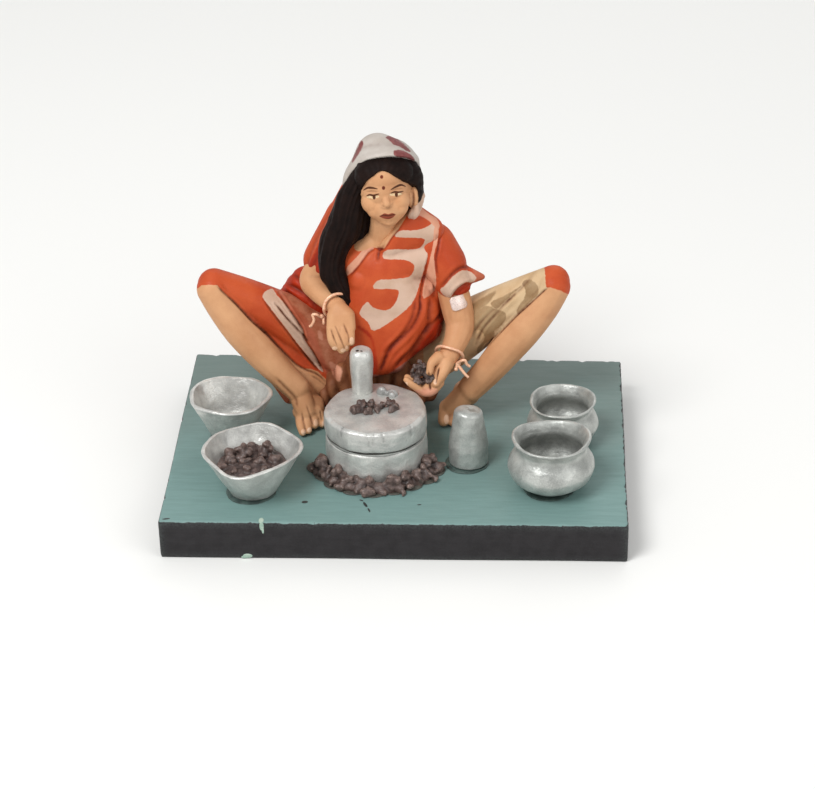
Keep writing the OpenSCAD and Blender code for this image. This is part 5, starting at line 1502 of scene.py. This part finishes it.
def makeBodice():
    bm = bmesh.new()
    addChain(bm, [(0, 2, 11, 11.6), (0, 0, 29, 9.4), (1, -5, 45, 9.4)], step=0.2)
    addChain(bm, [(-6, 5, 9, 9), (0, 3, 10, 11), (6, 5, 9, 9)], step=0.2)
    addWrap(bm, [(1, -4, 47, 9), (-11.6, -4, 53.6, 5), (15.6, -4, 55.4, 5.6), (1, -5.6, 56.5, 5)])
    addWrap(bm, [(16, -5, 55.3, 6.4), (-11, -6, 53.2, 5.8), (1, -9.5, 50, 8.6), (8.5, -8, 60.6, 3.2),
                 (-2, -7, 57.6, 3.6)])
    addWrap(bm, [(1, -9.5, 50, 8.6), (-7, -11.5, 37, 7.4), (9, -11, 38, 8.4), (-12, -5, 48, 6)])
    addWrap(bm, [(-7, -11.5, 37, 7.4), (9, -11, 38, 8.4), (-4, -19, 20.5, 3.6), (4, -18, 22, 3.6)])
    addWrap(bm, [(9, -11, 38, 8.4), (4, -16, 24, 4.6), (14, -10, 30, 5)])
    for x, y, z, r in place([(-5.2, -12.4, 48.0, 4.9), (6.2, -12.2, 48.4, 4.9)]):
        addBead(bm, (x, y, z), (r, r, r), fine=(24, 16))
    addWrap(bm, [(7, -11.4, 64.6, 2.6), (3.2, -12, 59.0, 3), (11.2, -7.6, 67.4, 3.3),
                 (15.6, -7, 62.4, 4.2), (9, -6, 58, 6)])
    addWrap(bm, [(12, -6, 43, 7), (13.6, -5, 33, 6.6), (9, -8, 29, 6)])
    clay = toClay(bm, "sariWrap", 0.3, 16)
    x, z = clay.co[:, 0] - figureAt[0], clay.co[:, 2] - figureAt[2]
    backFolds = np.sin((z - 0.9 * x) * 0.5 + 1.9 * np.sin(x / 6 + z / 15)) * ease(-clay.facing, -0.1, 0.3)
    push(clay, 0.25 * backFolds)
    # painted shade in the back folds
    clay.crease += 0.15 * np.clip(-backFolds, 0, 1)
    folds = [([(4.3, 30.6), (3.7, 25.6), (1.6, 21.4), (-1.4, 18), (-5.6, 13.8), (-7.5, 9.9), (-8.9, 6.5)],
              0.75, 0.7),
             ([(7.7, 32.1), (7, 26), (6.6, 22.2), (4.7, 18.7), (1.6, 13.8), (-1.8, 10.7), (-4.3, 7.6)],
              0.8, 0.75),
             ([(12.1, 29), (10.4, 25.2), (7.4, 21.8), (5.5, 19.1)], 0.5, 0.6),
             ([(2.8, 29.8), (1.6, 24.4), (-1.4, 19.5), (-7.1, 13.4)], 0.5, 0.6),
             ([(-9.4, 42.4), (-8.9, 45.2), (-7.3, 47.2)], 0.35, 0.5),
             ([(8.3, 48.1), (7, 44.3), (6, 40.5), (4.9, 35.9), (4.1, 30.6), (4.3, 26.7)], 0.3, 0.4),
             ([(9.4, 50), (9.3, 45.6), (8.4, 41), (8.6, 36), (8.4, 31)], 0.45, 0.45),
             ([(-18.4, 37.2), (-15.5, 40.3), (-12.5, 44.5), (-10.6, 45.9)], 0.3, 0.35),
             ([(10.8, 22), (9.8, 17.4), (6.8, 14.6), (2, 12)], 0.6, 0.7),
             ([(-12.4, 49.4), (-10.6, 46.9), (-7.5, 45.8), (-5, 49.4), (-2.2, 53)], 0.4, 0.35)]
    for line, depth, width in folds:
        press(clay, line, 0.8 * depth, width, 0.36 * depth, 0.5)
    push(clay, 0.12 * ripple(clay.co, 6))
    look(clay)
    comb = [(9.3, 55), (6.6, 53.1), (2.8, 51.8), (-2.2, 51.6), (-3.7, 49.7), (4.3, 49.3), (5.3, 48.1),
            (2.8, 45.8), (-6.4, 45.6), (-7.5, 42.8), (-2.2, 42.6), (0.9, 41.8), (2.2, 40.1), (0.5, 37.1),
            (-5.6, 36.3), (-9.4, 35.9), (-10.6, 33.4), (-3.7, 33.2), (-2.9, 31.3), (-4.5, 27.9),
            (-7.1, 26.5), (-11, 27.5), (-12.7, 29.2), (-15.2, 25.6), (-12.5, 22.9), (-10.6, 20.1),
            (-4.9, 23.3), (1.3, 28.6), (3.9, 35.1), (6.2, 42.8), (7.7, 47.4)]
    layOn(clay, "comb", comb, smooth=3)
    shoulder = [(3.4, 59.4), (5.3, 58.1), (7.2, 56.6), (9.3, 55.4), (10.2, 53), (9.2, 52.2), (6.9, 54.6),
                (4.4, 56.2), (3.1, 56.8)]
    layOn(clay, "shoulder", shoulder, smooth=2)
    layOn(clay, "strip", sariStrip, smooth=2)
    layOn(clay, "ribbon", [(-10.8, 46.9), (-13.3, 46.4), (-15.9, 43.4), (-18.6, 40.7), (-19.4, 39),
                           (-18.9, 37.4), (-15.6, 40.5), (-12.5, 44.7), (-10.7, 45.8)], smooth=2)
    skinPatch = [(-12.9, 49.3), (-12.5, 48.5), (-10.6, 46.9), (-9.4, 46.4), (-7.5, 45.8), (-6.4, 47.4),
                 (-4.9, 49.7), (-3.3, 51.2), (-2.2, 53.1), (-1, 55), (2, 60), (-13.5, 60)]
    layOn(clay, "skin", skinPatch, smooth=0)
    # painted shade: darker orange where the lower folds lie in shadow
    dark = np.maximum(onFront(clay, [(11.9, 24.8), (11.6, 19.1), (9.3, 15.3), (4.3, 13.4), (0.5, 10.3),
                                     (2.8, 14.5), (6.6, 19.5), (8.9, 22.5)]),
                      onFront(clay, [(-15.6, 21), (-12.5, 18.3), (-11, 15.3), (-11, 6.9), (-9.4, 7.3),
                                     (-10.2, 14.9), (-11.7, 19.1), (-14.8, 21.4)]))
    setLayer(clay, "dark", dark)
    layOn(clay, "hem", [(-11, 6.3), (-7.1, 5.9), (-4.5, 7.5), (0.5, 11.1), (5.1, 13.8), (8.5, 15.7),
                        (8.1, 13), (4.3, 9.2), (-1.4, 5.4), (-7.1, 2), (-11, 2)], smooth=0)
    layers = [("dark", "deepOrange", 0.9, 0.6), ("comb", "cream", 0.45, 0.12),
              ("strip", "pinkCream", 0.4, 0.15), ("shoulder", "pinkCream", 0.3, 0.2),
              ("ribbon", "pinkCream", 0.3, 0.15), ("skin", "skin", 0.3, 0.12), ("hem", "mauve", 0.6, 0.3)]
    material = paintedClay("sariPaint", "orange", layers, redShade, 0.95)
    finish(clay, material, ["torso", "sari_bodice"], hollowGain=4)


def makeSleeve():
    bm = bmesh.new()
    addWrap(bm, [(11, -4, 60.3, 5.2), (16, -5, 56, 7.3), (19.6, -7, 50.5, 7.1)])
    addWrap(bm, [(16, -5, 56, 7.3), (22.5, -9, 45.8, 5.8)])
    addWrap(bm, [(21.8, -8, 47.4, 4.8), (31.4, -8, 46.6, 1.0)])
    addWrap(bm, [(19, -6, 50, 6), (13, -2, 44, 7)])
    clay = toClay(bm, "sariSleeve", 0.26, 12)
    for line, depth in [([(10.6, 33.8), (12.6, 36.2), (14.8, 38.4), (17, 40), (19.4, 40.2)], 0.35),
                        ([(14.2, 30.4), (15.4, 32.4), (17.6, 34.2), (20.3, 35)], 0.7)]:
        press(clay, line, depth, 0.6, 0.4 * depth, 0.5)
    look(clay)
    press(clay, [(10, 54), (10.3, 50), (9.7, 46), (8.9, 42), (9.5, 37)], 0.35, 0.4, 0.15, 0.6)
    look(clay)
    # the mouth of the sleeve is hollowed round the arm
    sink(clay, [(14.2, 30.4), (15.3, 32.2), (17.4, 34), (20.4, 34.8), (21, 32.7), (18.6, 31.3),
                (15.2, 29.9)], 1.2, 0.8)
    look(clay)
    layOn(clay, "band", [(10.3, 32.9), (12.1, 34.7), (14.2, 37.1), (16.6, 38.9), (18.6, 39.1),
                         (20.5, 38.3), (21.7, 36.6), (20.3, 35.3), (18.6, 35.4), (16.6, 34.2), (14.5, 32),
                         (13, 29.6), (12, 30.6)])
    # painted shade inside the sleeve's mouth
    layOn(clay, "mouth", [(14.5, 30.5), (15.2, 32.2), (17.3, 34.2), (20.3, 35), (21.4, 32.7), (18.6, 31),
                          (15.2, 29.6)])
    layOn(clay, "strip", sariStrip, smooth=2)
    flare = 3.4 - np.linalg.norm(clay.co - place([(30.6, -8, 46.4)])[0], axis=1)
    setLayer(clay, "tip", flare)
    layers = [("tip", "dullPink", 0.8, 0.8), ("strip", "pinkCream", 0.4, 0.15),
              ("band", "cream", 0.5, 0.12), ("mouth", "deepOrange", 0.4, 0.3)]
    material = paintedClay("sleevePaint", "orange", layers, redShade, 0.9)
    finish(clay, material, ["sari_sleeve"], hollowGain=4)


def makeDrapes():
    bm = bmesh.new()
    addWrap(bm, [(-14, 0, 38, 7.8), (-25, 3, 32, 7.4)])
    addWrap(bm, [(-25, 3, 32, 7.4), (-15, 3, 18, 8)])
    addWrap(bm, [(-24.5, 1, 40, 4.6), (-28, 1, 33.6, 5.4), (-18, 1, 38, 7)])
    clay = toClay(bm, "hipDrape", 0.3, 12)
    for line in [[(-38, 35), (-34.4, 33), (-31, 30.6), (-28.6, 27.4)],
                 [(-36, 38), (-33, 35.4), (-30.6, 33)], [(-39.4, 33.2), (-36, 30.6), (-32.4, 27.6)]]:
        press(clay, line, 0.5, 0.6, 0.25, 0.6)
    x, z = clay.co[:, 0] - figureAt[0], clay.co[:, 2] - figureAt[2]
    rear = np.sin((z + 0.4 * x) * 0.95) * ease(-clay.facing, -0.2, 0.2)
    push(clay, 0.3 * rear)
    look(clay)
    layOn(clay, "paleFold", [(-32, 42.4), (-32.3, 37.3), (-29.9, 34.9), (-26.2, 33.9), (-27.9, 38.3),
                             (-28.6, 42.4)])
    layers = [("paleFold", "beige", 0.8, 0.5)]
    material = paintedClay("drapePaint", "deepOrange", layers, redShade, 0.9)
    finish(clay, material, ["hip_drape"], hollowGain=4)

    bm = bmesh.new()
    addWrap(bm, [(-8, -15.6, 20, 3.2), (-16, -10, 8, 4), (-19, -11.6, 4, 2.8)])
    addWrap(bm, [(-8, -15.6, 20, 3.2), (-9, -16.4, 4, 2.8), (-16, -10, 8, 4)])
    addWrap(bm, [(4, -15.6, 20, 3.2), (7, -15.4, 4, 2.8), (14, -10.6, 8, 4)])
    addWrap(bm, [(-9, -16.4, 4, 2.8), (7, -15.4, 4, 2.8), (0, -15.6, 19, 3.2)])
    clay = toClay(bm, "lapPleats", 0.3, 12)
    x, z = clay.co[:, 0] - figureAt[0], clay.co[:, 2] - figureAt[2]
    pleats = np.sin((x * (1 + 0.03 * (20 - z))) * 1.15 + 0.6 * np.sin(z / 5))
    push(clay, 0.45 * pleats)
    # painted shade between the pleats
    clay.crease += 0.6 * np.clip(-pleats, 0, 1)
    look(clay)
    # the pale patches are painted highlights
    setLayer(clay, "pale", np.maximum.reduce([onFront(clay, patch) for patch in paleHighlightPatches]))
    setLayer(clay, "lowEdge", figureLevel(4.5) - clay.co[:, 2])
    layers = [("pale", "pinkCream", 0.7, 0.4), ("lowEdge", "dullPink", 1.2, 0.6)]
    material = paintedClay("pleatPaint", "earth", layers, brownShade, 0.9)
    finish(clay, material, ["lap_pleats"], hollowGain=4)


def wireTube(name, runs, radius):
    # round wire bent along smooth runs of points, ends closed
    curve = bpy.data.curves.new(name, "CURVE")
    curve.dimensions = "3D"
    curve.bevel_depth = radius
    curve.bevel_resolution = 5
    curve.use_fill_caps = True
    for points, closed in runs:
        rows = smoothRun(points, 5, closed)
        line = curve.splines.new("POLY")
        line.points.add(len(rows) - 1)
        for point, row in zip(line.points, rows):
            point.co = (*row, 1)
        line.use_cyclic_u = closed
    return appliedCurve(curve, name)


def appliedCurve(curve, name):
    obj = linked(name, curve)
    bpy.context.view_layer.update()
    mesh = bpy.data.meshes.new_from_object(obj.evaluated_get(bpy.context.evaluated_depsgraph_get()))
    bpy.data.objects.remove(obj)
    return linked(name, mesh)


bangles = {
    "rightBangle": {"node": "right_bangle", "body": "bangle_r", "wrist": (-13, -18.4, 41.6),
                    "elbow": (-21.5, -5, 43.5), "wristRadius": 3.25,
                    "tails": [[(-17.4, -17.4, 37.6), (-18.3, -18.2, 37.9), (-19.3, -18.8, 38.9),
                               (-20.6, -18.6, 38.7), (-20.2, -18.9, 37.2), (-20.9, -19.2, 35.6),
                               (-21.6, -19.2, 34.9)],
                              [(-17.3, -17.6, 37.6), (-17.3, -18.5, 36.4), (-17.2, -18.9, 35.6)]],
                    "knots": [(-17.9, -18.2, 38.0, 0.75), (-17.2, -18.9, 36.2, 0.55)]},
    "leftBangle": {"node": "left_bangle", "body": "bangle_l", "wrist": (21.3, -21.4, 26),
                   "elbow": (24.4, -12, 32.4), "wristRadius": 3.4,
                   "tails": [[(23.9, -23.2, 24.4), (25.2, -24.2, 25.9), (26.4, -24.4, 26.2),
                              (27, -24.4, 24.8), (27.9, -24.4, 24.0)],
                             [(24.2, -23.4, 24.0), (25.4, -24.2, 22.6), (26.4, -24.6, 21.4),
                              (27.4, -24.8, 20.4)],
                             [(24, -23.2, 24.4), (23.6, -23.9, 22.8)]],
                   "knots": [(24.2, -23.3, 24.3, 0.85), (23.6, -23.9, 22.7, 0.65)]},
}


def makeBangle(name):
    # a ring of wire round the wrist, its ends twisted together
    bangle = bangles[name]
    wrist, elbow = (Vector(p) for p in place([bangle["wrist"], bangle["elbow"]]))
    along = (elbow - wrist).normalized()
    centre = wrist + along * 0.9 * figureScale
    across = along.orthogonal().normalized()
    other = along.cross(across)
    radius = bangle["wristRadius"] * figureScale + 0.9
    ring = [tuple(centre + radius * (math.cos(a) * across + math.sin(a) * other) + along * 0.18
                  * math.sin(3 * a))
            for a in [math.tau * i / 16 for i in range(16)]]
    runs = [(ring, True)] + [(place(tail).tolist(), False) for tail in bangle["tails"]]
    obj = wireTube(name, runs, 0.46)
    bm = bmesh.new()
    for x, y, z, r in place(bangle["knots"]):
        addBead(bm, (x, y, z), (r, r * 0.8, r))
    bm.from_mesh(obj.data)
    bm.to_mesh(obj.data)
    bm.free()
    clay = openMesh(obj)
    push(clay, 0.05 * ripple(clay.co, 0.9))
    # painted shade in the twists and painted highlights along the wire
    finish(clay, bpy.data.materials.get("banglePaint") or plainFinish("banglePaint", (0.93, 0.72, 0.58),
                                                                      (0.82, 0.56, 0.42), 0.34, 0.15, 0.6,
                                                                      shadeAndHighlight=((0.45, 0.22, 0.13),
                                                                              (1.0, 0.86, 0.74))),
           [bangle["node"]], bangle["body"], flat=False)


armlet = {"along": 0.27, "radius": 5.35, "half": 1.55, "wall": 0.45}


def makeArmlet():
    shoulder, elbow = (Vector(p) for p in place([(17, -4, 56), (24.4, -12, 32.4)]))
    mid = elbow.lerp(shoulder, armlet["along"])
    k = figureScale
    turn = (shoulder - elbow).to_track_quat("Z", "Y").to_matrix().to_4x4()
    bm = bmesh.new()
    bmesh.ops.create_cone(bm, cap_ends=False, segments=72, radius1=armlet["radius"] * k,
                          radius2=(armlet["radius"] - 0.1) * k,
                          depth=2 * armlet["half"] * k, matrix=Matrix.Translation(mid) @ turn)
    bmesh.ops.solidify(bm, geom=bm.faces[:], thickness=armlet["wall"])
    bmesh.ops.recalc_face_normals(bm, faces=bm.faces)
    bmesh.ops.bevel(bm, geom=[e for e in bm.edges if e.calc_face_angle(0) > 1.0], offset=0.16, segments=2,
                    profile=0.5, affect="EDGES",
                    material=-1)
    clay = openMesh(linked("armlet", meshFrom(bm, "armlet")))
    # broad and rounded in front, narrowing round the back of the arm
    axis = np.array((shoulder - elbow).normalized())
    off = clay.co - np.array(mid)
    up = off @ axis
    out = off - up[:, None] * axis
    front = np.array(Matrix.Rotation(math.radians(22), 3, "Z") @ Vector(backAxis))
    swing = np.degrees(np.arccos(np.clip((out @ front) / np.linalg.norm(out, axis=1) / 0.93, -1, 1)))
    share = np.sqrt(np.clip(1 - (swing / 30) ** 2, 0, 1))
    clay.co += (up * (0.25 + 1.2 * share - 1))[:, None] * axis - 0.3 * out * ease(swing, 24, 32)[:, None]
    finish(clay, plainFinish("pearlPaint", (0.93, 0.86, 0.83), (0.86, 0.76, 0.71), 0.28, 0.3, 0.3),
           ["armlet"], flat=False)


print("making the figure")
makeRightLeg()
makeLeftLeg()
makeArms()
makeHead()
makeHair()
makeHood()
makeBodice()
makeSleeve()
makeDrapes()
for name in bangles:
    makeBangle(name)
makeArmlet()

# the wires and nails inside keep their own shapes, in bright drawn steel
steel = plainFinish("steelWire", (0.62, 0.61, 0.60), (0.50, 0.49, 0.48), 0.3, 1.0, 1.2, thumbing=0.0,
                    brush=0.02)
for node in ["quern_pin", "seat_nails", "neck_wire", "right_leg_wire", "left_leg_wire", "right_arm_wire",
             "left_arm_wire"]:
    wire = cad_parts[node]
    wire.data.materials.clear()
    wire.data.materials.append(steel)


stage = {"floor": (0.93, 0.93, 0.92), "key": 9.0, "fill": 3.0, "rim": 2.0, "sky": 0.55}


def makeStage():
    bm = bmesh.new()
    bmesh.ops.create_grid(bm, x_segments=1, y_segments=1, size=3.0)
    floor = linked("studioFloor", meshFrom(bm, "studioFloor"))
    material, _, surface = newMaterial("studioFloor")
    surface.inputs["Base Color"].default_value = paint(*stage["floor"])
    surface.inputs["Roughness"].default_value = 0.9
    floor.data.materials.append(material)

    world = bpy.data.worlds.new("studio")
    bpy.context.scene.world = world
    world.use_nodes = True
    world.node_tree.nodes["Background"].inputs["Color"].default_value = (1.0, 1.0, 1.0, 1.0)
    world.node_tree.nodes["Background"].inputs["Strength"].default_value = stage["sky"]

    aim = Vector((0.0, -0.01, 0.04))
    for name, spotAt, size, energy in [("keyLight", (-0.45, -0.55, 0.95), 0.55, stage["key"]),
                                      ("fillLight", (0.8, -0.6, 0.6), 0.9, stage["fill"]),
                                      ("backLight", (0.2, 0.9, 0.8), 0.8, stage["rim"])]:
        lamp = bpy.data.lights.new(name, "AREA")
        lamp.shape = "DISK"
        lamp.size = size
        lamp.energy = energy
        obj = linked(name, lamp)
        obj.location = spotAt
        obj.rotation_euler = (aim - Vector(spotAt)).to_track_quat("-Z", "Y").to_euler()

    lens = bpy.data.cameras.new("camera")
    lens.lens = view["lens"]
    lens.sensor_width = 36.0
    lens.clip_start = 0.01
    camera = linked("camera", lens)
    axes = Matrix((rightAxis, upAxis, backAxis)).transposed().to_4x4()
    camera.matrix_world = Matrix.Translation(Vector(view["eye"]) * 0.001) @ axes
    bpy.context.scene.camera = camera


makeStage()

print("ready")
